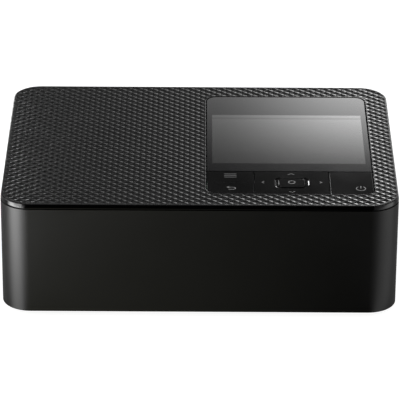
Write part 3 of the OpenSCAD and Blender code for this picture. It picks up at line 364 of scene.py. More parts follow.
@dataclass(frozen=True)
class PlatedSheet(Finish):
    """Zinc-plated sheet steel: faint crystals, rolling marks and a soft bloom."""

    metallic: float = 1.0
    crystal: float = 5 * MM
    rolling: float = 1.5 * MM
    rolling_depth: float = 0.004 * MM
    bloom: float = 25 * MM

    def pattern(self, graph: Graph) -> Sockets:
        """Crystals in the colour, rolling marks in the roughness and height.

        Args:
            graph: the material's graph.

        Returns:
            The sockets that change over the surface, by name.
        """
        crystals = graph.cells(self.crystal, "EUCLIDEAN", 1.0, "Color")
        tone = graph.shade("SeparateColor", None, {0: crystals})
        rolled = graph.noise(self.rolling, 3.0, (1.0, 0.06, 1.0))
        bloom = graph.noise(self.bloom, 2.0)
        dark = tinted(self.colour, 0.82)
        return {
            "Base Color": graph.blend(tone * 0.6 + bloom * 0.4, dark, self.colour),
            "Roughness": self.roughness + tone * 0.07 + rolled.swing(0.16),
            "Normal": graph.bump(rolled, self.rolling_depth),
        }


@dataclass(frozen=True)
class TurnedMetal(Finish):
    """Turned or drawn bar: fine rings along X, which is every shaft's own axis."""

    metallic: float = 1.0
    ring: float = 0.12 * MM
    ring_depth: float = 0.003 * MM
    tarnish: float = 9 * MM

    def pattern(self, graph: Graph) -> Sockets:
        """Rings in the roughness and height, with a slight tarnish.

        Args:
            graph: the material's graph.

        Returns:
            The sockets that change over the surface, by name.
        """
        rings = graph.noise(self.ring, 1.0, (1.0, 0.02, 0.02))
        tarnish = graph.noise(self.tarnish, 3.0)
        return {
            "Base Color": graph.blend(tarnish, tinted(self.colour, 0.75), self.colour),
            "Roughness": self.roughness + rings.swing(0.25) + tarnish.swing(0.1),
            "Normal": graph.bump(rings, self.ring_depth),
        }


@dataclass(frozen=True)
class Rubber(Finish):
    """Ground rubber: matt, with a fine tooth and a dusty bloom."""

    tooth: float = 0.25 * MM
    tooth_depth: float = 0.02 * MM
    bloom: float = 6 * MM

    def pattern(self, graph: Graph) -> Sockets:
        """Bloom in the colour and tooth in the height.

        Args:
            graph: the material's graph.

        Returns:
            The sockets that change over the surface, by name.
        """
        tooth = graph.noise(self.tooth, 3.0)
        bloom = graph.noise(self.bloom, 3.0)
        dusty = tinted(self.colour, 1.8, 0.01)
        return {
            "Base Color": graph.blend(bloom.ease(0.35, 0.8), self.colour, dusty),
            "Roughness": self.roughness + tooth.swing(0.15),
            "Normal": graph.bump(tooth, self.tooth_depth),
        }


@dataclass(frozen=True)
class DisplayGlass(Finish):
    """Dark glass with a black border round a slightly hazy display, and a darker seam across it."""

    low: Plan = (0.0, 0.0)
    high: Plan = (0.0, 0.0)
    film: Colour = (0.008, 0.0085, 0.008)
    soft: float = 0.12 * MM
    smear: float = 22 * MM
    seam_drop: float = 3.8 * MM
    seam_core: float = 0.3 * MM
    seam_reach: float = 1.5 * MM
    seam_depth: float = 0.32

    def constants(self) -> Sockets:
        """Adds the display film's own haze."""
        return {**super().constants(), "Coat Roughness": 0.1, "Coat IOR": 1.5}

    def _within(self, place: Shade, axis: int) -> Shade:
        """Tells the display from what lies beyond its edges along one axis.

        Args:
            place: the place along that axis, in metres.
            axis: 0 for X and 1 for Y.

        Returns:
            1 between the display's two edges and 0 outside them.
        """
        after = place.ease(self.low[axis] - self.soft, self.low[axis] + self.soft)
        beyond = place.ease(self.high[axis] - self.soft, self.high[axis] + self.soft)
        return after * (1.0 - beyond)

    def pattern(self, graph: Graph) -> Sockets:
        """The display area in the colour and the haze, with faint smears in the gloss.

        Args:
            graph: the material's graph.

        Returns:
            The sockets that change over the surface, by name.
        """
        x, y, _ = graph.axes()
        inside = self._within(x, 0) * self._within(y, 1)
        from_seam = (self.high[1] - y - self.seam_drop).size()
        seam = 1.0 - from_seam.ease(self.seam_core, self.seam_reach)
        return {
            "Base Color": graph.blend(inside, self.colour, self.film),
            "Roughness": self.roughness + graph.noise(self.smear, 4.0) * 0.05,
            "Coat Weight": inside * (1.0 - seam * self.seam_depth),
        }


@dataclass(frozen=True)
class CircuitBoard(Finish):
    """Green solder mask with copper tracks under it and black chips on top."""

    top: float = 1.0
    track: float = 3.2 * MM
    copper: Colour = (0.75, 0.56, 0.25)

    def pattern(self, graph: Graph) -> Sockets:
        """Tracks in the colour and height, and anything above the board in black.

        Args:
            graph: the material's graph.

        Returns:
            The sockets that change over the surface, by name.
        """
        z = graph.axes()[2]
        cells = graph.cells(self.track, "MANHATTAN", 0.8, "Distance")
        tracks = 1.0 - ((cells * 9.0).sine().size() - 0.25).ease(0.0, 0.2)
        pads = 1.0 - cells.ease(0.12, 0.16)
        chip = z > self.top
        mask = graph.blend(tracks, self.colour, tinted(self.colour, 1.9))
        bare = graph.blend(pads, mask, self.copper)
        return {
            "Base Color": graph.blend(chip, bare, grey(0.012)),
            "Metallic": pads * (1.0 - chip),
            "Roughness": self.roughness + chip * 0.15 - tracks * 0.05,
            "Normal": graph.bump(tracks * (1.0 - chip), 0.02 * MM),
        }


@dataclass(frozen=True)
class DyeRibbon(Finish):
    """Thin film with its dye panels, yellow, magenta, cyan and clear, one after the other."""

    panel: float = 9 * MM
    slant: float = 0.6
    dyes: tuple[Colour, ...] = (
        (0.78, 0.6, 0.05), (0.55, 0.03, 0.2), (0.02, 0.22, 0.5), (0.25, 0.24, 0.26)
    )

    def pattern(self, graph: Graph) -> Sockets:
        """Panels in the colour, and wrinkles in the gloss and height.

        Args:
            graph: the material's graph.

        Returns:
            The sockets that change over the surface, by name.
        """
        _, y, z = graph.axes()
        turns = (y + z * self.slant) / (len(self.dyes) * self.panel)
        along = graph.shade("Math", {"operation": "FRACT"}, {0: turns})
        stops = [(place / len(self.dyes), dye) for place, dye in enumerate(self.dyes)]
        wrinkles = graph.noise(3 * MM, 3.0, (0.2, 1.0, 1.0))
        return {
            "Base Color": graph.shade("ValToRGB", {"stops": stops}, {0: along}),
            "Roughness": self.roughness + wrinkles * 0.1,
            "Normal": graph.bump(wrinkles, 0.02 * MM),
        }


@dataclass(frozen=True)
class Ceramic(Finish):
    """Glazed ceramic with fine gold leads that run across it."""

    pitch: float = 0.5 * MM
    gold: Colour = (0.72, 0.55, 0.28)

    def pattern(self, graph: Graph) -> Sockets:
        """Leads side by side along X, and speckles in the glaze.

        Args:
            graph: the material's graph.

        Returns:
            The sockets that change over the surface, by name.
        """
        x = graph.axes()[0]
        leads = (x * (2.0 * math.pi / self.pitch)).sine().ease(0.2, 0.5)
        speckle = graph.noise(1.2 * MM, 3.0)
        return {
            "Base Color": graph.blend(leads * 0.5, self.colour, self.gold),
            "Roughness": self.roughness + speckle * 0.1,
            "Normal": graph.bump(speckle, 0.003 * MM),
        }


SATIN_BLACK = Moulding("satin_black_moulding", (0.003, 0.003, 0.0026), 0.4, 0.4)
TOP_BLACK = Moulding("dimpled_black_moulding", grey(0.013), 0.2, 0.16, grain_depth=0.002 * MM)
RIM_BLACK = Moulding("glossy_rim", (0.0008, 0.0008, 0.0009), 0.12, 0.4, grain_depth=0.0005 * MM)
KEY_BLACK = Moulding("glossy_key_moulding", grey(0.005), 0.07, 0.16, grain_depth=0.0008 * MM)
SURROUND_GLOSS = Moulding("polished_surround", grey(0.003), 0.07, 0.15, grain_depth=0.0003 * MM)
INNER_BLACK = Moulding("inner_black_moulding", (0.028, 0.028, 0.029), 0.55, 0.4)
CASSETTE_GREY = Moulding("cassette_grey_moulding", (0.075, 0.078, 0.085), 0.42, 0.45)
GEAR_WHITE = Moulding("natural_gear_moulding", (0.74, 0.71, 0.62), 0.42, 0.45, mottle=0.05)
# Grey of the printed marks; on the pad's embossed chevrons the same grey is painted highlight for
# their lit edges.
PRINT_AND_HIGHLIGHT_GREY = Moulding("print_and_painted_highlight_grey", grey(0.24), 0.5, 0.3, grain_depth=0.0005 * MM)
# Painted shade: a near-black matt strip that stands for the shade inside the menu key's groove.
GROOVE_SHADE_PAINT = Moulding("painted_groove_shade_black", grey(0.001), 0.7, 0.05, grain_depth=0.0005 * MM)
ZINC_SHEET = PlatedSheet("zinc_plated_sheet", (0.62, 0.63, 0.65), 0.3)
HEAT_SINK = TurnedMetal("extruded_aluminium", (0.72, 0.73, 0.74), 0.36, ring=0.3 * MM)
BRASS = TurnedMetal("turned_brass", (0.78, 0.6, 0.28), 0.28)
TURNED_STEEL = TurnedMetal("turned_steel", (0.6, 0.61, 0.63), 0.25)
BLACK_RUBBER = Rubber("ground_rubber", grey(0.018), 0.78, 0.3)


class Slot(Enum):
    """The record's material slots."""

    CASING = "casing"
    TOP = "top_texture"
    INNER = "inner_plastic"
    KEYS = "key_plastic"
    GLASS = "display_glass"
    DISPLAY = "display"
    STEEL = "steel"
    HEAT_SINK = "heat_sink_aluminium"
    CERAMIC = "ceramic"
    RUBBER = "rubber"
    GEARS = "gear_plastic"
    BRASS = "brass"
    BOARD = "board"
    CASSETTE = "cassette_plastic"
    RIBBON = "ribbon"


# ---- mesh helpers ----


def add_object(name: str, data: bpy.types.ID) -> bpy.types.Object:
    """Makes an object of a mesh, light or camera, and links it to the scene.

    Args:
        name: the object's name.
        data: the mesh, light or camera.

    Returns:
        The object.
    """
    made = bpy.data.objects.new(name, data)
    bpy.context.scene.collection.objects.link(made)
    return made


def mesh_object(
    name: str, points: Iterable[Point], faces: Iterable[Face], smooth: bool = False
) -> bpy.types.Object:
    """Makes an object from points and faces.

    Args:
        name: the object's name.
        points: its vertices in the printer's frame.
        faces: vertex numbers of each face.
        smooth: whether every face is shaded smooth.

    Returns:
        The object, linked to the scene.
    """
    mesh = bpy.data.meshes.new(name)
    mesh.from_pydata([tuple(p) for p in points], [], [tuple(f) for f in faces])
    mesh.validate()
    if smooth:
        mesh.polygons.foreach_set("use_smooth", [True] * len(mesh.polygons))
    return add_object(name, mesh)


def settle(piece: bpy.types.Object, body: str, slot: Slot, *replaced: str) -> bpy.types.Object:
    """Says which body a piece rides on, and the nodes that it stands for.

    Args:
        piece: the piece.
        body: the body that it rides on.
        slot: the record's slot for its material; not used.
        replaced: the nodes that it stands for.

    Returns:
        The piece itself.
    """
    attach(piece, body)
    if replaced:
        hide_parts(*replaced)
    LOG.info("piece %s: %d faces, rides on %s", piece.name, len(piece.data.polygons), body)
    return piece


def round_edges(piece: bpy.types.Object, width: float) -> None:
    """Adds the modifiers that round a node's sharp edges, inside its own surface.

    Args:
        piece: the node's object.
        width: how wide the rounding is, in metres.
    """
    weld = piece.modifiers.new("join_faces", "WELD")
    weld.merge_threshold = 0.001 * MM
    flat = piece.modifiers.new("clear_flats", "DECIMATE")
    flat.decimate_type = "DISSOLVE"
    flat.angle_limit = math.radians(0.5)
    radius = piece.modifiers.new("edge_radius", "BEVEL")
    radius.width = width
    radius.segments = 3
    radius.limit_method = "ANGLE"
    radius.angle_limit = math.radians(40)
    radius.use_clamp_overlap = True
    normals = piece.modifiers.new("even_shading", "WEIGHTED_NORMAL")
    normals.keep_sharp = False


def dress(piece: bpy.types.Object, *finishes: Finish) -> None:
    """Gives a piece its finishes, one for each material slot.

    Args:
        piece: the piece or node.
        finishes: the finishes in the order of its slots.
    """
    piece.data.materials.clear()
    for finish in finishes:
        piece.data.materials.append(finish.material())


def dress_nodes(names: Iterable[str], finish: Finish, edge: float = 0.0) -> None:
    """Gives construction nodes a finish, and rounds their edges where a width is given.

    Args:
        names: the nodes' names.
        finish: the finish for all of them.
        edge: how wide the rounding is, in metres; with 0 there is none.
    """
    for name in names:
        node = frame["nodes"][name]
        dress(node, finish)
        if edge:
            round_edges(node, edge)
        LOG.info("node %s dressed", name)


@dataclass(frozen=True)
class RoundedRect:
    """A rectangle with round corners, seen in plan."""

    x0: float
    x1: float
    y0: float
    y1: float
    radius: float

    def grown(self, by: float) -> "RoundedRect":
        """The same shape with its edges moved outwards, or inwards where by is negative."""
        radius = max(self.radius + by, 0.01 * MM)
        return RoundedRect(self.x0 - by, self.x1 + by, self.y0 - by, self.y1 + by, radius)

    def loop(self, step: float, arc_steps: int = 12) -> list[Plan]:
        """Points round the edge, anticlockwise from the front right corner.

        Args:
            step: about how far apart the points on the straight sides are.
            arc_steps: how many pieces each corner has.

        Returns:
            The points.
        """
        r = self.radius
        x0, x1, y0, y1 = self.x0 + r, self.x1 - r, self.y0 + r, self.y1 - r
        wide, deep = (max(1, round(side / step)) for side in (x1 - x0, y1 - y0))
        corners = ((x1, y0, deep), (x1, y1, wide), (x0, y1, deep), (x0, y0, wide))
        points: list[Plan] = []
        for turn, (x, y, count) in enumerate(corners):
            points += arc(x, y, r, 90.0 * (turn - 1), 90.0 * turn, arc_steps)
            ahead_x, ahead_y, _ = corners[(turn + 1) % 4]
            (ax, ay), (bx, by) = points[-1], on_circle(ahead_x, ahead_y, r, 90.0 * turn)
            for share in (k / count for k in range(1, count)):
                points.append((ax + (bx - ax) * share, ay + (by - ay) * share))
        return points

    def moved(self, by: float, step: float) -> list[Plan]:
        """The points of loop(), each moved outwards, so that their count stays the same.

        Args:
            by: how far outwards in metres, or inwards where it is negative.
            step: the step that loop() takes.

        Returns:
            The moved points.
        """
        points: list[Plan] = []
        for x, y in self.loop(step):
            core_x = min(max(x, self.x0 + self.radius), self.x1 - self.radius)
            core_y = min(max(y, self.y0 + self.radius), self.y1 - self.radius)
            away = Vector((x - core_x, y - core_y)).normalized()
            points.append((x + away.x * by, y + away.y * by))
        return points

    def depth(self, x: np.ndarray, y: np.ndarray) -> np.ndarray:
        """How far points lie inside the edge, in metres; outside it the value is negative.

        Args:
            x: the points' places along X.
            y: the points' places along Y.

        Returns:
            The depth of each point.
        """
        cx, cy = (self.x0 + self.x1) / 2, (self.y0 + self.y1) / 2
        qx = np.abs(x - cx) - (self.x1 - self.x0) / 2 + self.radius
        qy = np.abs(y - cy) - (self.y1 - self.y0) / 2 + self.radius
        outside = np.hypot(np.maximum(qx, 0), np.maximum(qy, 0))
        return self.radius - outside - np.minimum(np.maximum(qx, qy), 0)


def on_circle(x: float, y: float, radius: float, angle: float) -> Plan:
    """The point of a circle round x and y at an angle in degrees."""
    turn = math.radians(angle)
    return (x + radius * math.cos(turn), y + radius * math.sin(turn))


def arc(
    x: float, y: float, radius: float, start: float, end: float, steps: int = 12
) -> tuple[Plan, ...]:
    """Points on a circle's arc, with both angles in degrees."""
    angles = (start + (end - start) * k / steps for k in range(steps + 1))
    return tuple(on_circle(x, y, radius, angle) for angle in angles)


def smooth_rise(value: np.ndarray, low: float, high: float) -> np.ndarray:
    """A smooth rise from 0 at low to 1 at high."""
    share = np.clip((value - low) / (high - low), 0, 1)
    return share * share * (3 - 2 * share)


def filled(plan: Sequence[Plan], *counts: int) -> tuple[np.ndarray, np.ndarray]:
    """Triangulates points, of which the first lie on closed loops.

    Args:
        plan: the points, those of the loops first.
        counts: how many points each loop has.

    Returns:
        The points of the mesh and its triangles, as arrays.
    """
    edges: list[tuple[int, int]] = []
    for count in counts:
        start = len(edges)
        edges += [(start + k, start + (k + 1) % count) for k in range(count)]
    found = delaunay_2d_cdt([Vector(p) for p in plan], edges, [], 0, 1e-9)
    return np.array([tuple(p) for p in found[0]]), np.array([f for f in found[2] if len(f) == 3])


class Skin:
    """The points and faces of a mesh that is built up ring by ring."""

    def __init__(self, points: Iterable[Point] = (), faces: Iterable[Face] = ()) -> None:
        """Starts with the points and faces given, or with none."""
        self.points = list(points)
        self.faces = list(faces)

    def ring(self, plan: Iterable[Plan], z: float) -> int:
        """Adds points at one height.

        Args:
            plan: the points in plan.
            z: their height.

        Returns:
            The first point's number.
        """
        start = len(self.points)
        self.points += [(x, y, z) for x, y in plan]
        return start

    def strip(self, first: int, second: int, count: int, outward: bool) -> None:
        """Adds the faces between two rings.

        Args:
            first: the number of one ring's first point.
            second: the number of the other ring's first point.
            count: how many points each ring has.
            outward: whether a wall that goes down faces outwards; if not, it faces inwards.
        """
        for k in range(count):
            after = (k + 1) % count
            quad = (first + k, first + after, second + after, second + k)
            self.faces.append(quad[::-1] if outward else quad)


@dataclass
class Wall:
    """A wall that goes on ring by ring from one outline; last is where its newest ring starts."""

    skin: Skin
    outline: RoundedRect
    step: float
    last: int
    outward: bool

    def to(self, shape: RoundedRect, z: float) -> None:
        """Goes on to a ring that lies as far out as the shape does.

        Args:
            shape: a shape that lies as far out as the new ring.
            z: the new ring's height.
        """
        ring = self.outline.moved(shape.x1 - self.outline.x1, self.step)
        start = self.skin.ring(ring, z)
        self.skin.strip(self.last, start, len(ring), self.outward)
        self.last = start


# ---- casing ----


@dataclass
class TopCover:
    """The top plate: a field of small pits, a plain lip round it and a glossy rim."""

    corner: float = 13.4 * MM
    pitch: Plan = (5.12 * MM, 4.34 * MM)
    pit_depth: float = 0.35 * MM
    steps: int = 8
    edge_step: float = 0.8 * MM
    rim_fillet: float = 0.4 * MM
    rim_lean: float = 0.28 * MM
    rim_height: float = 2.3 * MM
    rim_foot: tuple[Plan, ...] = ((-0.05 * MM, 0.45 * MM), (0.0, 0.15 * MM), (-0.15 * MM, 0.0))
    mouth_fillet: float = 0.2 * MM
    fillet_steps: int = 4
    lattice_clear: float = 0.15 * MM
    lip: float = 0.125 * MM
    rim_fade: float = 1.75 * MM
    mouth_fade: float = 0.75 * MM
    skirt_inset: float = 2.4 * MM
    skirt_width: float = 1.5 * MM
    skirt_drop: float = 1.8 * MM

    def _lattice(self, edge: RoundedRect, mouth: RoundedRect) -> list[Plan]:
        """Points that lie on the pits' edges and creases, clear of the face's own edges.

        Args:
            edge: the outer edge of the flat face.
            mouth: the inner edge of the flat face.

        Returns:
            The points in plan.
        """
        across, along = (pitch / (2 * self.steps) for pitch in self.pitch)
        columns = np.arange(math.floor(edge.x0 / across), math.ceil(edge.x1 / across) + 1)
        rows = np.arange(math.floor(edge.y0 / along), math.ceil(edge.y1 / along) + 1)
        i, j = np.meshgrid(columns, rows)
        keep = (i + j) % 2 == 0
        x, y = i[keep] * across, j[keep] * along
        in_edge = edge.depth(x, y) > self.lattice_clear
        clear = in_edge & (mouth.depth(x, y) < -self.lattice_clear)
        return list(zip(x[clear], y[clear]))

    def _pits(self, x: np.ndarray, y: np.ndarray) -> np.ndarray:
        """How deep the pits go at each point, before they fade out at the lips.

        Args:
            x: the points' places along X.
            y: the points' places along Y.

        Returns:
            The depths in metres.
        """
        across, along = x / self.pitch[0], y / self.pitch[1]
        ways = (across + along, across - along)
        rises = (1.0 - np.abs(2.0 * np.mod(way, 1.0) - 1.0) for way in ways)
        return self.pit_depth * np.minimum(*rises)

    def _field(self, edge: RoundedRect, mouth: RoundedRect) -> tuple[np.ndarray, list[Face]]:
        """Triangulates the pitted face between the rim and the panel's mouth.

        Args:
            edge: the outer edge of the flat face.
            mouth: the inner edge of the flat face.

        Returns:
            Points as an array of x, y and drop, and the triangles, with the edge's points first
            and the mouth's points after them.
        """
        outer, inner = edge.loop(self.edge_step), mouth.loop(self.edge_step)
        plan, triangles = filled(outer + inner + self._lattice(edge, mouth), len(outer), len(inner))
        middle = plan[triangles].mean(axis=1).T
        inside = (edge.depth(*middle) > 0) & (mouth.depth(*middle) < 0)
        drop = self._pits(*plan.T)
        drop *= smooth_rise(edge.depth(*plan.T), self.lip, self.rim_fade)
        drop *= smooth_rise(-mouth.depth(*plan.T), self.lip, self.mouth_fade)
        return np.column_stack([plan, drop]), [tuple(t) for t in triangles[inside]]

    def build(self, mouth: RoundedRect) -> bpy.types.Object:
        """Makes the top cover, with its mouth for the panel, and lets it stand for its node.

        Args:
            mouth: the outline of the panel's mouth.

        Returns:
            The top cover.
        """
        low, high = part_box("top_cover")
        edge = RoundedRect(low.x, high.x, low.y, high.y, self.corner)
        shoulder = edge.grown(-self.rim_lean)
        face_edge = shoulder.grown(-self.rim_fillet)
        face_mouth = mouth.grown(self.mouth_fillet)
        bottom = high.z - self.rim_height
        flat, field = self._field(face_edge, face_mouth)
        skin = Skin(((x, y, high.z - drop) for x, y, drop in flat), field)
        n, m = (len(shape.loop(self.edge_step)) for shape in (face_edge, face_mouth))
        rim = Wall(skin, face_edge, self.edge_step, 0, True)
        throat = Wall(skin, face_mouth, self.edge_step, n, False)
        for k in range(1, self.fillet_steps + 1):
            turn = math.pi / 2 * k / self.fillet_steps
            for wall, shape, fillet, way in (
                (rim, shoulder, self.rim_fillet, -1), (throat, mouth, self.mouth_fillet, 1)
            ):
                away = fillet * (1 - math.sin(turn)) * way
                wall.to(shape.grown(away), high.z - fillet * (1 - math.cos(turn)))
        for grown, rise in self.rim_foot:
            rim.to(edge.grown(grown), bottom + rise)
        throat.to(mouth, bottom)
        inset = edge.grown(-self.skirt_inset)
        narrow = inset.grown(-self.skirt_width)
        skirt = bottom - self.skirt_drop
        for shape, z in ((inset, bottom), (inset, skirt), (narrow, skirt), (narrow, bottom)):
            rim.to(shape, z)
        self._close_underside(skin, (rim.last, n), (throat.last, m))
        piece = mesh_object("top_cover_dimpled", skin.points, skin.faces, smooth=True)
        dress(piece, TOP_BLACK, RIM_BLACK)
        index = [0] * len(field) + [1] * (len(piece.data.polygons) - len(field))
        piece.data.polygons.foreach_set("material_index", index)
        return settle(piece, "chassis", Slot.TOP, "top_cover")

    @staticmethod
    def _close_underside(skin: Skin, outer: tuple[int, int], inner: tuple[int, int]) -> None:
        """Fills the flat underside between two rings.

        Args:
            skin: the skin that the faces are added to.
            outer: the outer ring's first point and its count.
            inner: the inner ring's first point and its count.
        """
        (first, n), (second, m) = outer, inner
        numbers = [*range(first, first + n), *range(second, second + m)]
        plan, triangles = filled([skin.points[k][:2] for k in numbers], n, m)
        mouth = plan[n : n + m]
        middle = plan[triangles].mean(axis=1)
        in_mouth = ((middle > mouth.min(axis=0)) & (middle < mouth.max(axis=0))).all(axis=1)
        spans_mouth = in_mouth & (triangles >= n).all(axis=1)
        for triangle in triangles[~spans_mouth]:
            skin.faces.append(tuple(numbers[k] for k in reversed(triangle)))


@dataclass
class Casing:
    """The covers and doors: their satin finish and the radii of their moulded edges."""

    covers: tuple[str, ...] = (
        "side_cover_left", "side_cover_right", "rear_cover", "front_door", "ink_door"
    )
    trays: tuple[str, ...] = ("base_tray", "front_frame", "panel_frame")
    edge: float = 0.3 * MM

    def build(self) -> None:
        """Dresses the covers, with round edges, and the trays."""
        dress_nodes(self.covers, SATIN_BLACK, self.edge)
        dress_nodes(self.trays, INNER_BLACK)


# ---- control panel ----


@dataclass
class Mark:
    """A mark on a key, as thin strokes on its top with their points in millimetres: print on most
    keys, painted shade for the menu key's groove and painted highlight for the pad's chevrons.
    """

    name: str
    key: str
    strokes: tuple[tuple[Plan, ...], ...]
    width: float
    height: float = 0.02 * MM
    mitre: float = 0.4
    finish: Finish = PRINT_AND_HIGHLIGHT_GREY

    def build(self) -> bpy.types.Object:
        """Makes the strokes as thin raised ribbons and lets them ride on the key.

        Returns:
            The mark.
        """
        _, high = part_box(self.key)
        skin = Skin()
        for stroke in self.strokes:
            self._ribbon(stroke, high.z, skin)
        piece = mesh_object(self.name, skin.points, skin.faces)
        dress(piece, self.finish)
        return settle(piece, self.key, Slot.KEYS)

    def _ribbon(self, stroke: Sequence[Plan], z: float, skin: Skin) -> None:
        """Adds one stroke as a closed strip.

        Args:
            stroke: its points in millimetres; it is closed where the first is also the last.
            z: the height of the key's top.
            skin: the skin that it is added to.
        """
        closed = stroke[0] == stroke[-1]
        path = [Vector(p) * MM for p in (stroke[:-1] if closed else stroke)]
        count = len(path)
        start = len(skin.points)
        for k, here in enumerate(path):
            before = path[k - 1] if closed or k else here - (path[1] - here)
            is_last = not closed and k == count - 1
            after = here + (here - path[k - 1]) if is_last else path[(k + 1) % count]
            a, b = (here - before).normalized(), (after - here).normalized()
            side = Vector((-(a + b).y, (a + b).x)).normalized()
            reach = self.width / 2 / max(self.mitre, side.dot(Vector((-a.y, a.x))))
            for way, level in ((1, 0.0), (1, self.height), (-1, self.height), (-1, 0.0)):
                edge = here + side * (reach * way)
                skin.points.append((edge.x, edge.y, z + level))
        for k in range(count if closed else count - 1):
            p, q = start + 4 * k, start + 4 * ((k + 1) % count)
            skin.faces += [(p + c, q + c, q + c + 1, p + c + 1) for c in range(3)]
        if not closed:
            end = start + 4 * (count - 1)
            skin.faces += [tuple(range(start, start + 4)), tuple(range(end + 3, end - 1, -1))]


@dataclass
class KeyMarks:
    """Generic marks on the keys: menu bars, a way back, four chevrons in painted highlight, select
    and power, and painted shade along the menu key's groove.
    """

    groove_y: float = -41.85

    def build(self) -> None:
        """Makes every mark."""
        bars = tuple(((11.2, y), (16.9, y)) for y in (-32.8, -34.5, -36.2))
        # Painted shade: the strip drawn dark along the menu key's groove in place of its shade.
        groove_shade_strip = (((6.8, self.groove_y), (21.9, self.groove_y)),)
        back = (
            ((13.5, -46.0), (12.5, -46.9), (13.5, -47.8)),
            ((12.7, -46.9), *arc(15.3, -48.0, 1.1, 90, -90), (13.2, -49.1)),
        )
        chevrons = (
            ((40.9, -33.2), (42.3, -32.2), (43.7, -33.2)),
            ((40.9, -51.0), (42.3, -52.0), (43.7, -51.0)),
            ((29.6, -40.4), (28.6, -41.4), (29.6, -42.4)),
            ((55.2, -40.4), (56.2, -41.4), (55.2, -42.4)),
        )
        select = (arc(42.35, -41.3, 1.5, 0, 360, 24),)
        power = (arc(73.9, -47.7, 2.1, 122, 418, 24), ((73.9, -45.0), (73.9, -47.6)))
        for mark in (
            Mark("mark_menu", "menu_key", bars, 0.34 * MM),
            # Painted shade: the groove's dark strip on the menu key.
            Mark("menu_groove_painted_shade", "menu_key", groove_shade_strip, 0.5 * MM, finish=GROOVE_SHADE_PAINT),
            Mark("mark_back", "menu_key", back, 0.4 * MM),
            # Painted highlight: grey strokes stand for the lit edges of the pad's embossed
            # chevrons.
            Mark("four_way_chevrons_painted_highlight", "pad_key", chevrons, 0.32 * MM),
            Mark("mark_select", "ok_key", select, 0.45 * MM),
            Mark("mark_power", "power_key", power, 0.42 * MM),
        ):
            mark.build()


@dataclass
class PadSurround:
    """The sloping glossy surround between the pad's face and the dish round the confirm key."""

    reach: Plan = (1.9 * MM, 1.6 * MM)
    corner: float = 3.8 * MM
    width: float = 0.68 * MM
    depth: float = 0.38 * MM
    clear: float = 0.02 * MM
    slope: tuple[Plan, ...] = ((0.45, 0.48), (0.9, 0.96), (1.0, 1.0), (0.0, 1.0))
    step: float = 1.0 * MM
    crease: float = 40.0

    def build(self) -> bpy.types.Object:
        """Makes the slope as a closed ring that lies in the dish and rides on the pad.

        Returns:
            The surround.
        """
        low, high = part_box("ok_key")
        wide, deep = self.reach
        outer = RoundedRect(low.x - wide, high.x + wide, low.y - deep, high.y + deep, self.corner)
        outer = outer.grown(-self.clear)
        rings = [(outer, self.clear)]
        for across, down in self.slope:
            rings.append((outer.grown(-self.width * across), self.depth * down))
        skin = Skin()
        starts = [skin.ring(shape.loop(self.step), high.z - drop) for shape, drop in rings]
        count = len(skin.points) // len(rings)
        for first, second in zip(starts, starts[1:] + starts[:1]):
            skin.strip(first, second, count, False)
        piece = mesh_object("pad_surround", skin.points, skin.faces, smooth=True)
        piece.data.set_sharp_from_angle(angle=math.radians(self.crease))
        dress(piece, SURROUND_GLOSS)
        return settle(piece, "pad_key", Slot.KEYS)


@dataclass
class ControlPanel:
    """The display glass and the keys."""

    corner: float = 5.0 * MM
    gap: float = 0.5 * MM
    display: Plan = (71.5 * MM, 54.4 * MM)
    display_front: float = 32.4 * MM
    key_edge: float = 0.4 * MM

    def outline(self) -> RoundedRect:
        """The outline of the glass and keys together, read from the frame.

        Returns:
            The outline.
        """
        left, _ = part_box("menu_key")
        _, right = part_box("power_key")
        _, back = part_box("lcd_window")
        return RoundedRect(left.x, right.x, left.y, back.y, self.corner)

    def build(self) -> None:
        """Dresses the glass and the keys, and adds the surround and the marks."""
        panel = self.outline()
        width, depth = self.display
        left = (panel.x0 + panel.x1 - width) / 2
        front = panel.y0 + self.display_front
        low, high = (left, front), (left + width, front + depth)
        glass = DisplayGlass("display_glass_dark", (0.004, 0.004, 0.0045), 0.07, low=low, high=high)
        dress_nodes(("lcd_window",), glass)
        dress_nodes(("menu_key", "pad_key", "ok_key", "power_key"), KEY_BLACK, self.key_edge)
        PadSurround().build()
        KeyMarks().build()


# ---- inside ----


@dataclass
class Mechanism:
    """Everything inside: the steel frame, rollers, gears, ink cassette and electronics."""

    turned: tuple[str, ...] = (
        "capstan_roller", "pickup_shaft", "case_screws", "feed_motor", "take_up_motor",
        "pickup_motor",
    )

    @staticmethod
    def _board(node: str, face: float) -> CircuitBoard:
        """The finish of a circuit board, black where something stands above the face's height."""
        return CircuitBoard(f"{node}_mask", BOARD_GREEN, 0.35, top=face)

    def build(self) -> None:
        """Dresses every inner node by its material slot, or by its own name where it differs."""
        low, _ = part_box("main_board")
        keys_low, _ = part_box("key_board")
        by_slot = {
            Slot.INNER: INNER_BLACK,
            Slot.STEEL: ZINC_SHEET,
            Slot.HEAT_SINK: HEAT_SINK,
            Slot.CERAMIC: Ceramic("glazed_ceramic", (0.72, 0.68, 0.6), 0.2),
            Slot.RUBBER: BLACK_RUBBER,
            Slot.GEARS: GEAR_WHITE,
            Slot.BRASS: BRASS,
            Slot.CASSETTE: CASSETTE_GREY,
            Slot.RIBBON: DyeRibbon("dye_ribbon", (0.7, 0.5, 0.1), 0.3),
            Slot.DISPLAY: ZINC_SHEET,
            Slot.BOARD: self._board("main_board", low.z + 1.65 * MM),
        }
        by_name: dict[str, Finish] = dict.fromkeys(self.turned, TURNED_STEEL)
        by_name["key_board"] = self._board("key_board", keys_low.z + 1.02 * MM)
        for row in frame["record"]["subparts"]:
            name, slot = row["node"], Slot(row["material_slot"])
            if slot in by_slot and name not in Casing.trays:
                dress_nodes((name,), by_name.get(name, by_slot[slot]))


# ---- studio ----


def upright(y: float, *corners: Plan) -> tuple[Point, ...]:
    """The corners of a card that stands square to Y, from their x and z."""
    return tuple((x, y, z) for x, z in corners)


def lying(*corners: Plan) -> tuple[Point, ...]:
    """The corners of a card that lies just above the floor, from their x and y."""
    return tuple((x, y, 0.6 * MM) for x, y in corners)


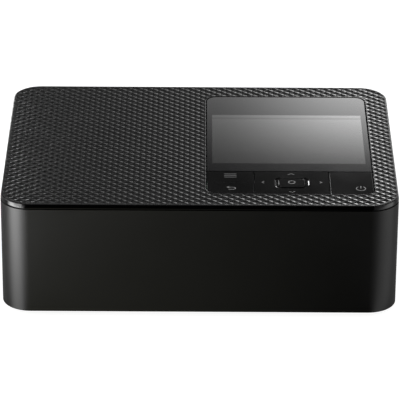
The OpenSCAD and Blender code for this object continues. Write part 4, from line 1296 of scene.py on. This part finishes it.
@dataclass(frozen=True)
class Card:
    """A card that only shows in gloss: a lit one draws a highlight, a dark one keeps a face black.

    Its strength is a plain number or makes a Shade, where 1 is the white of the background.
    """

    name: str
    corners: tuple[Point, ...]
    strength: float | Callable[[Graph], Shade]
    tint: Colour = WHITE

    def build(self) -> None:
        """Makes the card and hides it from all but gloss."""
        piece = mesh_object(self.name, self.corners, (tuple(range(len(self.corners))),))
        material, graph = new_material(self.name)
        strength = self.strength(graph) if callable(self.strength) else self.strength
        graph.surface(graph.shade("Emission", None, {"Color": self.tint, "Strength": strength}))
        piece.data.materials.append(material)
        piece.visible_camera = False
        piece.visible_shadow = False
        piece.visible_diffuse = False


@dataclass(frozen=True)
class Lamp:
    """A soft lamp at a place, turned to the printer, as bright as radiance times white."""

    name: str
    place: Point
    size: Plan
    radiance: float
    aim: Point = (0.0, 0.0, 0.03)

    def build(self) -> None:
        """Makes the lamp."""
        width, height = self.size
        light = bpy.data.lights.new(self.name, "AREA")
        light.shape = "RECTANGLE"
        light.size, light.size_y = width, height
        light.energy = self.radiance * math.pi * width * height
        holder = add_object(self.name, light)
        holder.location = self.place
        holder.rotation_mode = "QUATERNION"
        way = Vector(self.aim) - Vector(self.place)
        holder.rotation_quaternion = way.to_track_quat("-Z", "Y")
        holder.visible_camera = False


@dataclass
class Camera:
    """The camera, placed as the photograph's outline asks."""

    pitch: float = 25.97
    yaw: float = 0.07
    roll: float = 0.35
    distance: float = 1453.0 * MM
    focus: float = 3048.0
    image: float = 400.0
    sensor: float = 36.0
    target: Point = (0.19 * MM, 0.0, 27.91 * MM)

    def build(self) -> None:
        """Places the camera; the angles are in degrees, the focus and image in pixels."""
        pitch, yaw, roll = (math.radians(a) for a in (self.pitch, self.yaw, self.roll))
        level = math.cos(pitch)
        forward = Vector((math.sin(yaw) * level, math.cos(yaw) * level, -math.sin(pitch)))
        right = Vector((math.cos(yaw), -math.sin(yaw), 0.0))
        up = right.cross(forward)
        right, up = (
            right * math.cos(roll) + up * math.sin(roll),
            up * math.cos(roll) - right * math.sin(roll),
        )
        lens = bpy.data.cameras.new("camera")
        lens.sensor_width = self.sensor
        lens.lens = self.focus / self.image * self.sensor
        lens.clip_start, lens.clip_end = 0.01, 50.0
        holder = add_object("camera", lens)
        turn = Matrix((right, up, -forward)).transposed().to_4x4()
        place = Vector(self.target) - forward * self.distance
        holder.matrix_world = Matrix.Translation(place) @ turn
        bpy.context.scene.camera = holder


@dataclass
class Studio:
    """A pale floor, a plain world, soft lamps, and the cards that gloss shows."""

    floor_half: float = 4.0
    floor_grey: float = 0.42
    floor_glow: float = 0.92

    def floor(self) -> None:
        """Lays the floor: it takes the printer's shadow and reads as white."""
        half = self.floor_half
        corners = ((-half, -half, 0.0), (half, -half, 0.0), (half, half, 0.0), (-half, half, 0.0))
        piece = mesh_object("floor", corners, ((0, 1, 2, 3),))
        material, graph = new_material("white_floor")
        lit = graph.shade("BsdfDiffuse", None, {"Color": grey(self.floor_grey)})
        seen = graph.shade("LightPath", output="Is Camera Ray")
        glow = {"Color": WHITE, "Strength": seen * self.floor_glow}
        shown = graph.shade("Emission", None, glow)
        graph.surface(graph.shade("AddShader", None, {0: lit, 1: shown}))
        piece.data.materials.append(material)

    @staticmethod
    def _seen(graph: Graph) -> Shade:
        """Tells the rays that show the background from those that light the object.

        Args:
            graph: the graph of the material or world.

        Returns:
            1 for a ray from the camera, or by way of gloss or glass, and 0 for any other.
        """
        rays = graph.node("LightPath")
        names = ("Is Camera Ray", "Is Glossy Ray", "Is Transmission Ray")
        camera, glossy, through = (Shade(graph, rays.outputs[name]) for name in names)
        return camera.most(glossy).most(through)

    def world(self) -> None:
        """White round the horizon where it is seen, grey above, and an even fill for the object."""
        world = bpy.data.worlds.new("studio")
        bpy.context.scene.world = world
        world.use_nodes = True
        graph = Graph(world.node_tree)
        way = graph.shade("TexCoord", output="Generated")
        rise = graph.shade("SeparateXYZ", None, {0: way}, 2)
        seen = self._seen(graph)
        backdrop = 1.0 - rise.ease(0.12, 0.34) * 0.9
        strength = seen * backdrop + (1.0 - seen) * 0.35
        light = {"Color": WHITE, "Strength": strength}
        shown = graph.shade("Background", None, light)
        graph.node("OutputWorld", None, {"Surface": shown})

    @staticmethod
    def _back(graph: Graph) -> Shade:
        """The card just behind, seen in the glass and keys.

        It is brighter to the right and nearly dark where the keys see it, and a thin strip at its
        top is for the plate's plain lip.

        Args:
            graph: the card's graph.

        Returns:
            The card's strength at each place.
        """
        x, _, z = graph.axes()
        glass = (0.75 + 3.1 * x.ease(0.0, 0.135)) * (1.22 - 0.22 * z.ease(0.306, 0.322))
        keys = 0.05 + 0.06 * x.ease(0.0, 0.125)
        strip = 1.1 * z.ease(0.4, 0.406) * (1.0 - z.ease(0.412, 0.42))
        share = z.ease(0.29, 0.374)
        return glass * (1.0 - share) + keys * share + strip

    @staticmethod
    def _far(graph: Graph) -> Shade:
        """The far card, seen low in one facet of each pit: brighter and brighter to the right.

        Args:
            graph: the card's graph.

        Returns:
            The card's strength at each place.
        """
        x, _, _ = graph.axes()
        along = x.most(-0.3).least(0.6)
        end = 1.0 - 0.95 * x.ease(0.62, 0.9)
        return 0.39 * ((6.9 - 2.7 * along) * along).exponent() * end

    @staticmethod
    def _glint(graph: Graph) -> Shade:
        """The card that whitens the surround's right side, and dimly the keys' left edges."""
        return 6.0 + 12.0 * graph.axes()[2].ease(0.2, 0.205)

    @staticmethod
    def _along(graph: Graph, start: Plan, way: Plan) -> Shade:
        """How far a point of the floor lies from a start, measured along a way."""
        x, y, _ = graph.axes()
        return (x - start[0]) * way[0] + (y - start[1]) * way[1]

    @classmethod
    def _left(cls, graph: Graph) -> Shade:
        """The card on the left: a soft beam towards the front left corner, dimmer close to it.

        Args:
            graph: the card's graph.

        Returns:
            The card's strength at each place.
        """
        passed = cls._along(graph, (-0.0796, -0.0664), (-0.961, 0.276))
        left = cls._along(graph, (-0.0877, -0.0621), (-0.1045, -0.9945))
        share = passed / (passed + left)
        away = cls._along(graph, (-0.083, -0.064), (-0.83, -0.56))
        level = (0.62 + away * 4.8).least(1.15) + 0.5 * away.ease(0.15, 0.22)
        return 6.7 * share.ease(0.0, 0.4) * (1.0 - share.ease(0.6, 1.0)) * level * level

    @classmethod
    def _right(cls, graph: Graph) -> Shade:
        """The card on the right: a soft glow towards the front right corner.

        Args:
            graph: the card's graph.

        Returns:
            The card's strength at each place.
        """
        passed = cls._along(graph, (0.0796, -0.0664), (0.961, 0.276))
        left = cls._along(graph, (0.09, -0.0583), (0.707, -0.707))
        share = passed / (passed + left)
        away = cls._along(graph, (0.083, -0.064), (0.83, -0.56))
        glow = share.ease(0.12, 0.52) * (1.0 - 0.85 * share.ease(0.56, 0.78))
        return (0.12 + 0.9 * glow) * (1.0 + 1.5 * away.ease(0.13, 0.2))

    @staticmethod
    def _front(graph: Graph) -> Shade:
        """The card in front: a faint glow near its left end that dies away to the right."""
        x, y, _ = graph.axes()
        return ((0.085 - x) * 2.4).most(0.0).least(0.4) * y.ease(-0.33, -0.26)

    def cards(self) -> tuple[Card, ...]:
        """The cards, each placed for the one face or edge that shows it.

        Returns:
            The cards.
        """
        back = upright(0.62, (-0.6, 0.42), (1.2, 0.42), (1.2, 0.28), (-0.6, 0.28))
        far = upright(3.0, (-2.0, 1.4), (3.0, 1.4), (3.0, 0.0), (-2.0, 0.0))
        glint = upright(
            0.61,
            (-0.31, 0.03), (-0.25, 0.03), (-0.25, 0.2), (-0.188, 0.205),
            (-0.188, 0.275), (-0.25, 0.275), (-0.31, 0.2),
        )
        behind = lying((-0.5, 0.2), (0.7, 0.2), (1.5, 2.9), (-1.0, 2.9))
        before = lying((-0.0796, -0.0668), (0.0796, -0.0668), (0.329, -0.936), (-0.329, -0.936))
        dark = upright(-0.94, (-0.5, 0.5), (0.5, 0.5), (0.5, 0.0), (-0.5, 0.0))
        left = lying((-0.0877, -0.0621), (-0.0796, -0.0664), (-0.205, -0.5), (-0.55, -0.0135))
        screen = ((-0.3, -0.44, 0.16), (-0.5, -0.22, 0.16), (-0.5, -0.22, 0.0), (-0.3, -0.44, 0.0))
        right = lying((0.0796, -0.0664), (0.09, -0.0583), (0.33, 0.18), (0.5, -0.1), (0.2, -0.486))
        return (
            Card("back_card", back, self._back),
            Card("far_card", far, self._far),
            Card("glint_card", glint, self._glint),
            Card("back_flag", behind, 0.1),
            Card("front_flag", before, self._front, (1.0, 1.0, 0.82)),
            Card("front_dark", dark, 0.02),
            Card("left_card", left, self._left),
            Card("left_screen", screen, 8.0),
            Card("right_card", right, self._right),
        )

    def build(self) -> None:
        """Sets the studio up."""
        Camera().build()
        self.floor()
        self.world()
        for card in self.cards():
            card.build()
        for lamp in (
            Lamp("left_box", (-0.75, -0.12, 0.3), (0.7, 0.6), 3.0),
            Lamp("right_box", (0.85, -0.1, 0.35), (0.5, 0.5), 1.8),
            Lamp("overhead", (0.0, -0.1, 1.1), (0.7, 0.7), 1.2),
        ):
            lamp.build()
        bpy.context.scene.view_settings.view_transform = "Standard"


def main() -> None:
    """Builds the studio and every piece of the printer."""
    logging.basicConfig(level=logging.INFO, format="%(name)s: %(message)s")
    Studio().build()
    controls = ControlPanel()
    TopCover().build(controls.outline().grown(controls.gap))
    Casing().build()
    controls.build()
    Mechanism().build()


if __name__ == "__main__":
    main()
